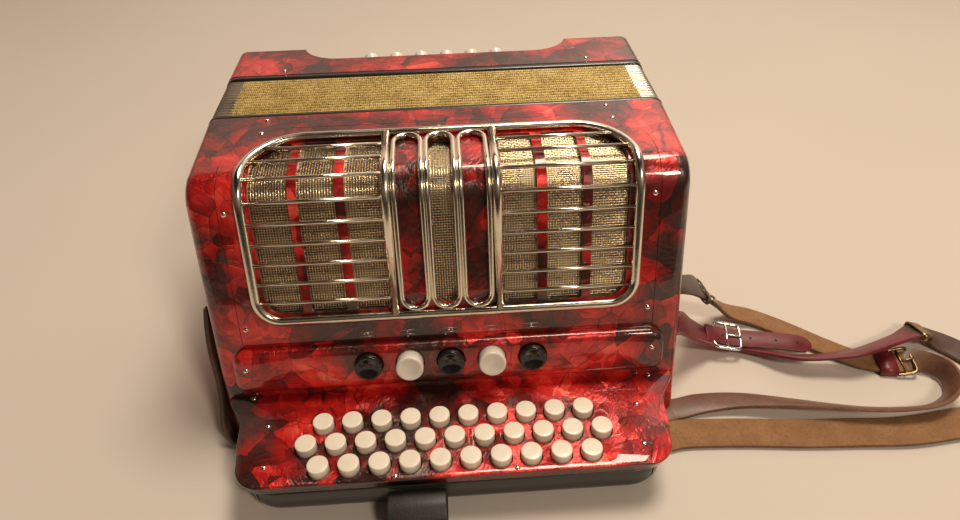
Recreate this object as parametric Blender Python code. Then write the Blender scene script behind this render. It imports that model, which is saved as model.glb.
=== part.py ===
"""Three-row button accordion with five register pushers, lying on its back with the bellows closed.

Metres, +Z up from the surface it rests on, X along the long side, Y from the keyboard to the bass end.
Lengths in the tables below are millimetres, and mm() turns them into metres about the part's origin.
"""

import math

import bmesh
import bpy
from mathutils import Vector

Y_ORIGIN = 133.586  # the drawing's Y at the middle of the object, keyboard edge to hand strap
HALF_W = 163.0
DEPTH = 190.0  # back to grille side
GAP = 0.3  # between pieces that touch

# Front profile of the treble casing: a nearly level top, one round bend, a steep face
TOP_EDGE = (169.0, 190.0)
BEND_CORNER = (91.67, 184.6)
BEND_R = 24.0
TOP_SLOPE = math.radians(4.0)
FACE_SLOPE = math.radians(73.25)
PROFILE_LEN = 228.0

BUTTON_PITCH = 19.6
ROW_PITCH = 16.8
BUTTON_R = 6.9
BUTTON_TOP = 42.4
PLATE_TOP = 36.4
PLATE_LOW = 26.9
BLOCK_LOW = 5.0
REGISTER_PITCH = 28.3
REGISTER_R = 9.3
REGISTER_S = 203.5
BASS_PITCH = 20.4
BASS_R = 5.5
BASS_TILT = math.radians(32.0)


def clear_scene():
    for obj in list(bpy.data.objects):
        bpy.data.objects.remove(obj, do_unlink=True)


def mm(x, y, z):
    return Vector((x / 1000, (y - Y_ORIGIN) / 1000, z / 1000))


MATERIALS = {
    "pearloid": ((0.42, 0.02, 0.02), 0.0, 0.12),
    "chrome": ((0.85, 0.84, 0.80), 1.0, 0.08),
    "mesh_metal": ((0.62, 0.50, 0.30), 1.0, 0.35),
    "ivory_plastic": ((0.86, 0.76, 0.58), 0.0, 0.30),
    "black_plastic": ((0.02, 0.02, 0.02), 0.0, 0.20),
    "black_wood": ((0.035, 0.034, 0.03), 0.0, 0.45),
    "bellows_cloth": ((0.55, 0.40, 0.15), 0.0, 0.60),
    "frame_black": ((0.02, 0.018, 0.015), 0.0, 0.40),
    "leather_tan": ((0.40, 0.22, 0.11), 0.0, 0.65),
    "leather_burgundy": ((0.16, 0.03, 0.035), 0.0, 0.45),
    "leather_black": ((0.03, 0.028, 0.026), 0.0, 0.60),
    "reed_wood": ((0.55, 0.38, 0.20), 0.0, 0.55),
}


def material(slot):
    found = bpy.data.materials.get(slot)
    if found:
        return found
    made = bpy.data.materials.new(slot)
    made.use_nodes = True
    shader = made.node_tree.nodes["Principled BSDF"]
    colour, metallic, roughness = MATERIALS[slot]
    shader.inputs["Base Color"].default_value = (*colour, 1)
    shader.inputs["Metallic"].default_value = metallic
    shader.inputs["Roughness"].default_value = roughness
    return made


def build(name, points, faces, slot, origin=(0, Y_ORIGIN, 0)):
    """One object from points in drawing millimetres, with its origin at the given point."""
    centre = mm(*origin)
    mesh = bpy.data.meshes.new(name)
    mesh.from_pydata([mm(*p) - centre for p in points], [], faces)
    work = bmesh.new()
    work.from_mesh(mesh)
    bmesh.ops.recalc_face_normals(work, faces=work.faces)
    work.to_mesh(mesh)
    work.free()
    mesh.materials.append(material(slot))
    mesh.polygons.foreach_set("use_smooth", [True] * len(mesh.polygons))
    mesh.set_sharp_from_angle(angle=math.radians(32))
    obj = bpy.data.objects.new(name, mesh)
    obj.location = centre
    bpy.context.collection.objects.link(obj)
    return obj


def helper(obj):
    obj.hide_render = True
    obj.display_type = "WIRE"
    return obj


def boolean(obj, other, operation="DIFFERENCE"):
    modifier = obj.modifiers.new(other.name, "BOOLEAN")
    modifier.operation = operation
    modifier.solver = "EXACT"
    modifier.object = other
    helper(other)


def bevel(obj, width, segments=3, by_weight=False, angle=30):
    modifier = obj.modifiers.new("edges", "BEVEL")
    modifier.width = width / 1000
    modifier.segments = segments
    modifier.limit_method = "WEIGHT" if by_weight else "ANGLE"
    modifier.angle_limit = math.radians(angle)
    return modifier


def loft(name, sections, slot, origin=(0, Y_ORIGIN, 0), closed=False):
    """A solid through sections of equal point counts. A closed one joins its last section to its first."""
    count = len(sections[0])
    points = [p for section in sections for p in section]
    faces = []
    for i in range(len(sections) if closed else len(sections) - 1):
        j = (i + 1) % len(sections)
        for k in range(count):
            m = (k + 1) % count
            faces.append((i * count + k, i * count + m, j * count + m, j * count + k))
    if not closed:
        faces.append(tuple(range(count)))
        faces.append(tuple((len(sections) - 1) * count + k for k in range(count)))
    return build(name, points, faces, slot, origin)


def prism_z(name, outline, low, high, slot):
    return loft(name, [[(x, y, z) for x, y in outline] for z in (low, high)], slot)


def prism_x(name, outline, left, right, slot):
    return loft(name, [[(x, y, z) for y, z in outline] for x in (left, right)], slot)


def box(name, low, high, slot):
    (x0, y0, z0), (x1, y1, z1) = low, high
    return prism_z(name, [(x0, y0), (x1, y0), (x1, y1), (x0, y1)], z0, z1, slot)


def lathe(name, profile, base, axis, slot, segments=16):
    """A turned solid: profile holds (distance along axis, radius) and base is the point at distance 0."""
    axis = Vector(axis).normalized()
    side = axis.orthogonal().normalized()
    if abs(axis.x) < 0.9:
        side = (Vector((1, 0, 0)) - axis * axis.x).normalized()
    other = axis.cross(side)
    start = Vector(base)
    sections = []
    for along, radius in profile:
        ring = []
        for k in range(segments):
            turn = 2 * math.pi * k / segments
            out = side * math.cos(turn) + other * math.sin(turn)
            ring.append(tuple(start + axis * along + out * radius))
        sections.append(ring)
    return loft(name, sections, slot, origin=base)


def normal_at(angle):
    return (-math.sin(angle), math.cos(angle))


def profile_point(s, out=0.0):
    """(y, z) at a distance s along the front profile from its bellows edge, out mm outside the surface."""
    first = math.dist(TOP_EDGE, BEND_CORNER)
    turn = FACE_SLOPE - TOP_SLOPE
    cut = BEND_R * math.tan(turn / 2)
    arc = BEND_R * turn
    if s <= first - cut:
        angle = TOP_SLOPE
        y = TOP_EDGE[0] - math.cos(angle) * s
        z = TOP_EDGE[1] - math.sin(angle) * s
    elif s <= first - cut + arc:
        angle = TOP_SLOPE + (s - first + cut) / BEND_R
        n0, n1 = normal_at(TOP_SLOPE), normal_at(angle)
        y = TOP_EDGE[0] - math.cos(TOP_SLOPE) * (first - cut) + BEND_R * (n1[0] - n0[0])
        z = TOP_EDGE[1] - math.sin(TOP_SLOPE) * (first - cut) + BEND_R * (n1[1] - n0[1])
    else:
        angle = FACE_SLOPE
        rest = s - (first - cut + arc) + cut
        y = BEND_CORNER[0] - math.cos(angle) * rest
        z = BEND_CORNER[1] - math.sin(angle) * rest
    n = normal_at(angle)
    return y + n[0] * out, z + n[1] * out


def on_front(x, s, out=0.0):
    y, z = profile_point(s, out)
    return (x, y, z)


BEND_START = math.dist(TOP_EDGE, BEND_CORNER) - BEND_R * math.tan((FACE_SLOPE - TOP_SLOPE) / 2)
BEND_END = BEND_START + BEND_R * (FACE_SLOPE - TOP_SLOPE)


def levels(low, high, extra=(), phase=0.0):
    """Sorted distances from low to high, with the bend divided finely enough to stay round.

    A cutter takes its own phase, so that its edges never lie on the edges of what it cuts.
    """
    bend = [BEND_START + (BEND_END - BEND_START) * (k + phase) / 8 for k in range(9 if phase == 0 else 8)]
    found = sorted({round(s, 4) for s in [low, high, *bend, *extra] if low <= s <= high})
    return [s for k, s in enumerate(found) if k == 0 or s - found[k - 1] > 0.05]


def corner_inset(depth, radius):
    """How far a rounded corner's edge has drawn in at a depth measured from the end of the shape."""
    if depth >= radius:
        return 0.0
    return radius - math.sqrt(max(0.0, radius**2 - (radius - depth) ** 2))


def band(name, x_low, x_high, s_low, s_high, out_low, out_high, slot, radii=(0, 0, 0, 0), phase=0.0):
    """A piece that follows the front profile. radii: left top, right top, left bottom, right bottom."""
    extra = []
    for radius, end, sign in zip(radii, (s_low, s_low, s_high, s_high), (1, 1, -1, -1)):
        if radius:
            extra += [end + sign * radius * (1 - math.cos(math.pi / 2 * k / 6)) for k in range(7)]
    sections = []
    for s in levels(s_low, s_high, extra, phase):
        top, bottom = s - s_low, s_high - s
        left = x_low + max(corner_inset(top, radii[0]), corner_inset(bottom, radii[2]))
        right = x_high - max(corner_inset(top, radii[1]), corner_inset(bottom, radii[3]))
        corners = [(left, out_low), (right, out_low), (right, out_high), (left, out_high)]
        sections.append([on_front(x, s, out) for x, out in corners])
    return loft(name, sections, slot)


def arc_points(cx, cy, radius, start, end, count):
    return [
        (cx + radius * math.cos(math.radians(start + (end - start) * k / count)),
         cy + radius * math.sin(math.radians(start + (end - start) * k / count)))
        for k in range(count + 1)
    ]


# ---------------------------------------------------------------- treble side


def treble_casing():
    front = [profile_point(s) for s in levels(0, PROFILE_LEN)]
    foot = front[-1][0]
    outline = front + [(foot, 0.0), (TOP_EDGE[0], 0.0)]
    casing = prism_x("treble_casing", outline, -HALF_W, HALF_W, "pearloid")
    weights = casing.data.attributes.new("bevel_weight_edge", "FLOAT", "EDGE")
    low, high = mm(-HALF_W, 0, 0).x, mm(HALF_W, 0, 0).x
    bellows_y = mm(0, TOP_EDGE[0], 0).y
    centre = casing.location
    for edge in casing.data.edges:
        a, b = (casing.data.vertices[i].co + centre for i in edge.vertices)
        on_side = abs(a.x - b.x) < 1e-6 and (abs(a.x - low) < 1e-6 or abs(a.x - high) < 1e-6)
        at_bellows = abs(a.y - bellows_y) < 1e-6 and abs(b.y - bellows_y) < 1e-6
        weights.data[edge.index].value = 1.0 if on_side and not at_bellows else 0.0
    bevel(casing, 9, 4, by_weight=True)
    inner = [profile_point(s, -5.5) for s in levels(3, 214)]
    room = [(TOP_EDGE[0] + 2, inner[0][1])] + inner + [(inner[-1][0], 6.0), (TOP_EDGE[0] + 2, 6.0)]
    boolean(casing, prism_x("cut_casing_room", room, -153, 153, "pearloid"))
    seat = (-142.1, 142.1, 15.7, 187.4, -3.9, 14)
    boolean(casing, band("cut_panel_seat", *seat, "pearloid", (41, 41, 0, 0), 0.5))
    opening = (-130, 130, 24, 178, -9, 1)
    boolean(casing, band("cut_sound_opening", *opening, "pearloid", (34, 34, 14, 14), 0.25))
    for k in range(5):
        boolean(casing, register_hole(f"cut_register_stem_{k}", k, 4.6, -9, 3))
    # an opening in the front wall behind the keyboard for the button levers
    boolean(casing, box("cut_lever_slot", (-128, 44, 10), (128, 58, 22), "pearloid"))
    return casing


def register_hole(name, k, radius, inside, outside):
    y, z = profile_point(REGISTER_S)
    n = normal_at(FACE_SLOPE)
    base = ((k - 2) * REGISTER_PITCH, y + n[0] * inside, z + n[1] * inside)
    return lathe(name, [(0, radius), (outside - inside, radius)], base, (0, *n), "pearloid", 20)


WINDOWS = [(-121.8, -97.3), (-91.3, -67.8), (-61.3, -39.2)]


def grille_panel():
    panel = band("grille_panel", -141.8, 141.8, 16, 187.1, -3.5, 0, "pearloid", (40, 40, 0, 0))
    for side in (1, -1):
        for k, (a, b) in enumerate(WINDOWS):
            left, right = (a, b) if side == 1 else (-b, -a)
            outer = k == 0
            big = (20.5, 2.5, 14, 2.5) if outer else (2.5, 2.5, 2.5, 2.5)
            if side == -1:
                big = (big[1], big[0], big[3], big[2])
            name = f"cut_window_{side + 1}_{k}"
            boolean(panel, band(name, left, right, 35, 165, -6, 3, "pearloid", big, 0.5))
    middle = (-7.2, 7.2, 35.5, 162.5, -6, 3)
    boolean(panel, band("cut_window_middle", *middle, "pearloid", (7.1,) * 4, 0.5))
    return panel


def tube_on_front(name, path, half_wide, low, high, closed):
    """A six-sided bar along (x, s) points on the front, half_wide across and from low to high outside it."""
    sections = []
    count = len(path)
    for i, (x, s) in enumerate(path):
        before = path[(i - 1) % count] if closed or i else path[0]
        after = path[(i + 1) % count] if closed or i < count - 1 else path[-1]
        dx, ds = after[0] - before[0], after[1] - before[1]
        size = math.hypot(dx, ds)
        ax, as_ = -ds / size, dx / size
        mid = (low + high) / 2
        section = []
        hexagon = ((-1, mid), (-0.55, high), (0.55, high), (1, mid), (0.55, low), (-0.55, low))
        for share, out in hexagon:
            across = share * half_wide
            section.append(on_front(x + ax * across, s + as_ * across, out))
        sections.append(section)
    return loft(name, sections, "chrome", closed=closed)


def rounded_path(x0, x1, s0, s1, radii, steps=6):
    """Points round a rectangle in (x, s): radii for left top, right top, right bottom, left bottom."""
    rlt, rrt, rrb, rlb = radii
    path = []
    for cx, cs, r, start in (
        (x0 + rlt, s0 + rlt, rlt, 180),
        (x1 - rrt, s0 + rrt, rrt, 270),
        (x1 - rrb, s1 - rrb, rrb, 0),
        (x0 + rlb, s1 - rlb, rlb, 90),
    ):
        path += arc_points(cx, cs, r, start, start + 90, steps)
    full = []
    for i, (x, s) in enumerate(path):
        full.append((x, s))
        nx, ns = path[(i + 1) % len(path)]
        if abs(nx - x) < 0.01 and abs(ns - s) > 1:
            between = [v for v in levels(min(s, ns) + 0.6, max(s, ns) - 0.6)[1:-1]]
            full += [(x, v) for v in (between if ns > s else reversed(between))]
    return full


def grille_frame():
    outer = rounded_path(-127.3, 127.3, 30, 169.3, (40, 40, 17, 17), 12)
    frame = tube_on_front("grille_frame", outer, 3.2, 0.7, 4.8, True)
    for side in (-1, 1):
        x = side * 35.4
        path = [(x, s) for s in levels(31, 168.5)]
        upright = tube_on_front(f"join_upright_{side + 1}", path, 3.1, 0.7, 4.9, False)
        boolean(frame, upright, "UNION")
    for k in (-1, 0, 1):
        ring = rounded_path(k * 21.3 - 8.9, k * 21.3 + 8.9, 34.6, 164.6, (8.8,) * 4, 5)
        boolean(frame, tube_on_front(f"join_ring_{k + 1}", ring, 2.15, 0.6, 4.3, True), "UNION")
    for k in range(1, 10):
        s = 30 + 13.93 * k
        reach = 127.3 - corner_inset(s - 30, 40)
        reach = min(reach, 127.3 - corner_inset(169.3 - s, 17))
        for side in (-1, 1):
            ends = sorted((side * 34.5, side * reach))
            y, z = profile_point(s, 2.6)
            turns = [math.pi / 3 * j for j in range(6)]
            ring = [(y + 1.4 * math.cos(turn), z + 1.4 * math.sin(turn)) for turn in turns]
            rod = prism_x(f"join_rod_{side + 1}_{k}", ring, ends[0], ends[1], "chrome")
            boolean(frame, rod, "UNION")
    return frame


def grille_mesh():
    return band("grille_mesh", -125, 125, 32, 168, -5.0, -3.8, "mesh_metal", (31, 31, 12, 12))


def register_bar():
    corner = 11.0
    outline = rounded_path(-150, 150, 189.3, 222, (corner, corner, 9, 9), 5)
    low = [on_front(x, s, 0.3) for x, s in outline]
    mid = [on_front(x, s, 3.8) for x, s in outline]
    inset = rounded_path(-145.5, 145.5, 193.8, 219.5, (7, 7, 6.5, 6.5), 5)
    high = [on_front(x, s, 8.0) for x, s in inset]
    ridge = rounded_path(-148.6, 148.6, 190.7, 221.2, (9.6, 9.6, 8.4, 8.4), 5)
    ridge = [on_front(x, s, 6.8) for x, s in ridge]
    bar = loft("register_bar", [low, mid, ridge, high], "pearloid")
    for k in range(5):
        boolean(bar, register_hole(f"cut_register_{k}", k, REGISTER_R + 0.5, -1, 12))
    return bar


def register_pushers():
    n = normal_at(FACE_SLOPE)
    y, z = profile_point(REGISTER_S)
    for k in range(5):
        white = k in (1, 3)
        proud = 17.0 if white else 13.2
        start = -12.0
        base = ((k - 2) * REGISTER_PITCH, y + n[0] * start, z + n[1] * start)
        head, top = 4.8 - start, proud - start
        profile = [(0, 3.6), (head - 0.1, 3.6), (head, REGISTER_R), (top - 0.9, REGISTER_R)]
        profile += [(top, REGISTER_R - 0.9), (top - 0.05, REGISTER_R - 1.6)]
        profile += [(top - 1.3, REGISTER_R - 4.6), (top - 1.6, 1.0)]
        slot = "ivory_plastic" if white else "black_plastic"
        lathe(f"register_{k + 1}", profile, base, (0, *n), slot, 20)


def plate_half_outline(inset=0.0):
    """The fingerboard's right-hand outline from its back edge to its front edge."""
    corner = 18.0
    front = -28.0 + inset
    side = 142.6 - inset
    points = [(157.5 - inset, 46.6), (157.3 - inset, 42.5)]
    points += [(153.6 - inset, 36.5), (149.6 - inset, 31.0), (147.0 - inset, 25.5), (146.0 - inset, 19.0)]
    points += [(145.4 - inset, 6.0), (143.8 - inset, -4.0)]
    points += arc_points(side - corner + 0.4, front + corner, corner, 0, -90, 6)
    return points


def mirrored(half):
    return half + [(-x, y) for x, y in reversed(half)]


def fingerboard():
    top = mirrored(plate_half_outline(0.9))
    edge = mirrored(plate_half_outline(0.0))
    low = mirrored(plate_half_outline(1.9))
    sections = [
        [(x, y, PLATE_LOW) for x, y in low],
        [(x, y, PLATE_TOP - 1.6) for x, y in edge],
        [(x, y, PLATE_TOP) for x, y in top],
    ]
    plate = loft("fingerboard", sections, "pearloid")
    for row, k, x, y in button_places():
        cut = lathe(
            f"cut_button_{row}_{k}", [(0, BUTTON_R + 0.75), (14, BUTTON_R + 0.75)],
            (x, y, PLATE_LOW - 2), (0, 0, 1), "pearloid", 16,
        )
        boolean(plate, cut)
    return plate


def block_half(inset=0.0):
    corner = 24.0
    points = [(152.0 - inset, 46.6), (152.0 - inset, 34.0), (146.0 - inset, 22.0), (141.5 - inset, 4.0)]
    points += arc_points(140.0 - inset - corner, -25.6 + inset + corner, corner, 0, -90, 6)
    return points


def keyboard_block():
    sections = []
    steps = [(BLOCK_LOW, 3.2), (BLOCK_LOW + 3.4, 0.6), (BLOCK_LOW + 7, 0.0)]
    steps += [(24.4, 0.0), (24.6, 1.6), (PLATE_LOW - GAP, 1.6)]
    for z, inset in steps:
        sections.append([(x, y, z) for x, y in mirrored(block_half(inset))])
    block = loft("keyboard_block", sections, "black_wood")
    boolean(block, box("cut_block_room", (-131, -21, 9), (131, 50, 40), "black_wood"))
    return block


def button_places():
    for row, count in ((0, 10), (1, 11), (2, 10)):
        for k in range(count):
            yield row, k, (k - (count - 1) / 2) * BUTTON_PITCH, (1 - row) * ROW_PITCH


def treble_buttons():
    for row, k, x, y in button_places():
        low = 14.5
        cap = 30.4 - low
        top = BUTTON_TOP - low
        profile = [(0, 2.4), (cap, 2.4), (cap, BUTTON_R), (top - 0.7, BUTTON_R), (top, BUTTON_R - 0.7)]
        name = f"treble_button_{row + 1}_{k + 1:02d}"
        lathe(name, profile, (x, y, low), (0, 0, 1), "ivory_plastic", 12)


def treble_reed_block():
    base = box("treble_reed_block", (-132, 146, 22), (132, 151, 168), "reed_wood")
    for k in range(3):
        z = 40 + k * 42
        boolean(base, box(f"join_treble_reeds_{k}", (-118, 150, z), (118, 196, z + 16), "reed_wood"), "UNION")
    for k in range(3):
        z = 40 + k * 42
        boolean(base, box(f"cut_treble_port_{k}", (-110, 140, z + 5), (110, 170, z + 11), "reed_wood"))
    return base


# ---------------------------------------------------------------- bellows and bass side

FOLDS = 14
BELLOWS_Y = (173.6, 230.0)


def ring_outline(x, low, high, cut=3.0):
    """A rectangle in (x, z) with small cut corners."""
    return [
        (-x + cut, low), (x - cut, low), (x, low + cut), (x, high - cut),
        (x - cut, high), (-x + cut, high), (-x, high - cut), (-x, low + cut),
    ]


def bellows():
    sections_out, sections_in = [], []
    steps = FOLDS * 2
    for i in range(steps + 1):
        y = BELLOWS_Y[0] + (BELLOWS_Y[1] - BELLOWS_Y[0]) * i / steps
        draw = 0.8 if i % 2 else 10.0
        outer = ring_outline(HALF_W - 0.6 - draw, 0.4 + draw, 189.6 - draw)
        inner = ring_outline(HALF_W - 2.8 - draw, 2.6 + draw, 187.4 - draw)
        sections_out.append([(x, y, z) for x, z in outer])
        sections_in.append([(x, y, z) for x, z in inner])
    loop = sections_out + sections_in[::-1]
    return loft("bellows", loop, "bellows_cloth", closed=True)


def ring_frame(name, y0, y1):
    sections = []
    outer, inner = (HALF_W, 0, DEPTH), (HALF_W - 19, 19, DEPTH - 19)
    for y, sizes in ((y0, outer), (y1, outer), (y1, inner), (y0, inner)):
        sections.append([(x, y, z) for x, z in ring_outline(*sizes, 4.0)])
    return loft(name, sections, "frame_black", closed=True)


BASS_Y = (236.3, 290.5)
SCOOP_Y = 262.0


def bass_casing():
    r = 10.0
    outline = [(BASS_Y[0], 0), (BASS_Y[1] - 4, 0), (BASS_Y[1], 4)]
    outline += arc_points(BASS_Y[1] - r, DEPTH - r, r, 0, 90, 4)
    outline += [(BASS_Y[0], DEPTH)]
    casing = prism_x("bass_casing", outline, -HALF_W, HALF_W, "pearloid")
    weights = casing.data.attributes.new("bevel_weight_edge", "FLOAT", "EDGE")
    bellows_y = mm(0, BASS_Y[0], 0).y
    centre = casing.location
    for edge in casing.data.edges:
        a, b = (casing.data.vertices[i].co + centre for i in edge.vertices)
        on_side = abs(a.x - b.x) < 1e-6
        at_bellows = abs(a.y - bellows_y) < 1e-6 and abs(b.y - bellows_y) < 1e-6
        weights.data[edge.index].value = 1.0 if on_side and not at_bellows else 0.0
    bevel(casing, 8, 3, by_weight=True)
    boolean(casing, box("cut_bass_room", (-153, 230, 6), (153, 256, 184), "pearloid"))
    boolean(casing, box("cut_bass_room_low", (-153, 250, 6), (153, 284.5, 136), "pearloid"))
    stations = [-112, -108, -103, -96, -88, -82, -78, 78, 82, 88, 96, 103, 108, 112]
    sections = []
    for x in stations:
        t = min(1.0, max(0.0, (abs(x) - 78) / 30))
        start = SCOOP_Y + 26 * (1 - math.sqrt(1 - t * t)) + (2 if abs(x) > 110 else 0)
        profile = [(start, 200), (start, DEPTH), (start + 25, 150), (330, 150), (330, 200)]
        sections.append([(x, y, z) for y, z in profile])
    boolean(casing, loft("cut_scoop", sections, "pearloid"))
    hole = [(0, BASS_R + 0.7), (60, BASS_R + 0.7)]
    for k in range(6):
        cut = lathe(f"cut_bass_button_{k}", hole, bass_place(k, -20), bass_axis(), "pearloid", 20)
        boolean(casing, cut)
    hole = [(0, 8.2), (40, 8.2)]
    boolean(casing, lathe("cut_air_button", hole, (-130, 262, 166), (0, 1, 0), "pearloid", 20))
    return casing


def bass_axis():
    return (0, math.cos(BASS_TILT), math.sin(BASS_TILT))


def bass_place(k, out):
    """The middle of bass button k, out mm from the sloping button face."""
    axis = bass_axis()
    down = 9.0
    y = SCOOP_Y + down * math.sin(BASS_TILT)
    z = DEPTH - down * math.cos(BASS_TILT)
    return ((k - 2.5) * BASS_PITCH - 1.8, y + axis[1] * out, z + axis[2] * out)


def bass_buttons():
    for k in range(6):
        profile = [(0, BASS_R), (15.3, BASS_R), (16.0, BASS_R - 0.7)]
        base = bass_place(k, -9.2)
        lathe(f"bass_button_{k + 1}", profile, base, bass_axis(), "ivory_plastic", 16)
    profile = [(0, 7.4), (24.7, 7.4), (25.5, 6.6)]
    lathe("air_button", profile, (-130, 270, 166), (0, 1, 0), "ivory_plastic", 16)


def bass_reed_block():
    base = box("bass_reed_block", (-120, 240, 30), (120, 245, 160), "reed_wood")
    for k in range(2):
        z = 50 + k * 56
        boolean(base, box(f"join_bass_reeds_{k}", (-105, 204, z), (105, 241, z + 18), "reed_wood"), "UNION")
    for k in range(2):
        z = 50 + k * 56
        boolean(base, box(f"cut_bass_port_{k}", (-96, 222, z + 6), (96, 250, z + 12), "reed_wood"))
    return base


# ---------------------------------------------------------------- leather


def ribbon(name, path, across, thick, slot):
    """A flat strap through (x, y, z) middle points. across holds each point's width vector."""
    sections = []
    count = len(path)
    for i, p in enumerate(path):
        here = Vector(p)
        ahead = (Vector(path[min(i + 1, count - 1)]) - Vector(path[max(i - 1, 0)])).normalized()
        wide = Vector(across[i])
        wide = (wide - ahead * wide.dot(ahead)) / 2
        up = ahead.cross(wide.normalized()) * thick / 2
        corners = [here + wide + up, here - wide + up, here - wide - up, here + wide - up]
        sections.append([tuple(corner) for corner in corners])
    return loft(name, sections, slot)


def smooth(points, per=4):
    """A Catmull-Rom curve through the points."""
    out = []
    pts = [Vector(p) for p in points]
    for i in range(len(pts) - 1):
        a, b, c, d = pts[max(i - 1, 0)], pts[i], pts[i + 1], pts[min(i + 2, len(pts) - 1)]
        for k in range(per):
            t = k / per
            square = (2 * a - 5 * b + 4 * c - d) * t**2
            cube = (3 * b - a - 3 * c + d) * t**3
            out.append(tuple(0.5 * (2 * b + (c - a) * t + square + cube)))
    out.append(tuple(pts[-1]))
    return out


def bass_hand_strap():
    half = [(-150, 292.9, 96), (-132, 293.1, 96), (-112, 298, 96), (-70, 309.5, 96)]
    path = smooth(half + [(0, 315, 96)] + [(-x, y, z) for x, y, z in reversed(half)], 3)
    return ribbon("bass_hand_strap", path, [(0, 0, 62)] * len(path), 4.0, "leather_black")


def thumb_strap():
    loop = [(-27.9, 21.5), (-31, 22.6), (-40, 22), (-48, 15.5), (-47, 6), (-38, 2.2), (-26, 2.0), (-16, 2.0)]
    path = smooth([(-26, y, z) for y, z in loop], 3)
    return ribbon("thumb_strap", path, [(38, 0, 0)] * len(path), 2.4, "leather_black")


def rolled(table):
    """Each row's width vector: level and square to the path at roll 0, tipped by the roll about the path.

    A row whose fourth value is a vector gives its width itself.
    """
    wide = []
    for i, row in enumerate(table):
        if isinstance(row[3], tuple):
            wide.append(row[3])
            continue
        before, after = table[max(i - 1, 0)], table[min(i + 1, len(table) - 1)]
        ahead = (Vector(after[:3]) - Vector(before[:3])).normalized()
        left = Vector((-ahead.y, ahead.x, 0)).normalized()
        up = ahead.cross(left)
        turn = math.radians(row[4])
        wide.append(tuple((left * math.cos(turn) + up * math.sin(turn)) * row[3]))
    return wide


def shoulder_strap(name, table, slot):
    """table rows: x, y, z, width, roll."""
    path = smooth([row[:3] for row in table], 3)
    ribbon(name, path, smooth(rolled(table), 3), 3.0, slot)


UPPER_STRAP = [
    (166.5, 86, 84, (0, 4, 15)), (172.5, 92, 79, (-2, 5, 15)), (191, 109, 60, 17, 40), (212, 123, 32, 18, 5),
    (232, 128, 12, 18, 0), (254, 127, 4, 18, 0), (276, 112, 3, 18, 0), (300, 91, 3, 18, 0),
    (324, 74, 3, 18, 0), (346, 68, 4, 18, 6), (364, 66, 8, 17, 40), (377, 54, 10, 17, 66),
    (375, 38, 10, 17, 68), (364, 27, 10, 17, 62), (348, 21, 10, 17, 56), (324, 20, 10, 17, 50),
    (303, 22, 9.5, 17, 47), (282, 26, 9, 17, 44), (255, 32, 8, 17, 36), (215, 40, 5.5, 17, 16),
    (185, 41, 3.4, 18, 4), (165, 38, 2.3, 18, 0), (140, 36, 2.3, 18, 0), (0, 36, 2.3, 18, 0),
    (-120, 36, 2.3, 18, 0), (-146, 36.5, 2.3, 18, 0), (-158, 38.5, 4, (0, -17, 0)),
    (-165, 42.5, 13, (0, -15, 5)), (-165.2, 51, 25, (0, -13, 9)), (-165.8, 60, 42, (0, -12, 9)),
    (-168.3, 70, 62, (0, -11, 9)), (-167.6, 77, 80, (0, -11, 9)), (-166, 82, 93, (0, -10, 9)),
]
LOWER_STRAP = [
    (166.5, 73, 58, (0, 5, 19)), (173.5, 80, 50, (-2, 8, 18)), (192, 93, 27, 20, 26), (210, 98, 12, 19, 6),
    (230, 97, 6, 17, -6), (248, 88, 6, 16, -24), (262, 78, 9, 16, -36), (276, 73, 11, 16, -38),
    (297, 71, 13, 16, -38), (312, 70, 16, 16, -36), (330, 74, 17, 16, -36), (357, 84, 15, 16, -30),
    (379, 94, 10, 18, -12), (395, 88, 4, 20, 0), (408, 75, 3, 22, 0), (418, 55, 3, 24, 0),
    (416, 34, 3, 24, 0), (402, 20, 3, 24, 0), (380, 12, 3, 24, 0), (350, 8, 3, 24, 0),
    (321, 6, 3, 24, 0), (285, 8, 2.6, 24, 0), (248, 10, 2.4, 24, 0), (206, 14, 2.3, 24, 0),
    (165, 16, 2.3, 24, 0), (140, 13.5, 2.3, 24, 0), (60, 13.5, 2.3, 24, 0), (-60, 13.5, 2.3, 24, 0),
    (-126, 13.5, 2.3, 24, 0),
]


def shoulder_straps():
    shoulder_strap("shoulder_strap_upper", UPPER_STRAP, "leather_tan")
    shoulder_strap("shoulder_strap_lower", LOWER_STRAP, "leather_burgundy")


clear_scene()
treble_casing()
grille_panel()
grille_frame()
grille_mesh()
register_bar()
register_pushers()
fingerboard()
keyboard_block()
treble_buttons()
treble_reed_block()
ring_frame("bellows_frame_treble", 169.3, 173.3)
bellows()
ring_frame("bellows_frame_bass", 230.3, 236.0)
bass_casing()
bass_buttons()
bass_reed_block()
bass_hand_strap()
thumb_strap()
shoulder_straps()
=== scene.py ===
"""Looks of a three-row button accordion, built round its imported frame.

Tables and helpers work in millimetres in the part's own drawing, where Y is 0 at the middle row of treble
buttons. at() turns a point into the frame's metres. Distances called s run along the front profile of the
treble casing from its bellows edge, and out is the height above that surface.
"""

import math

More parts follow.
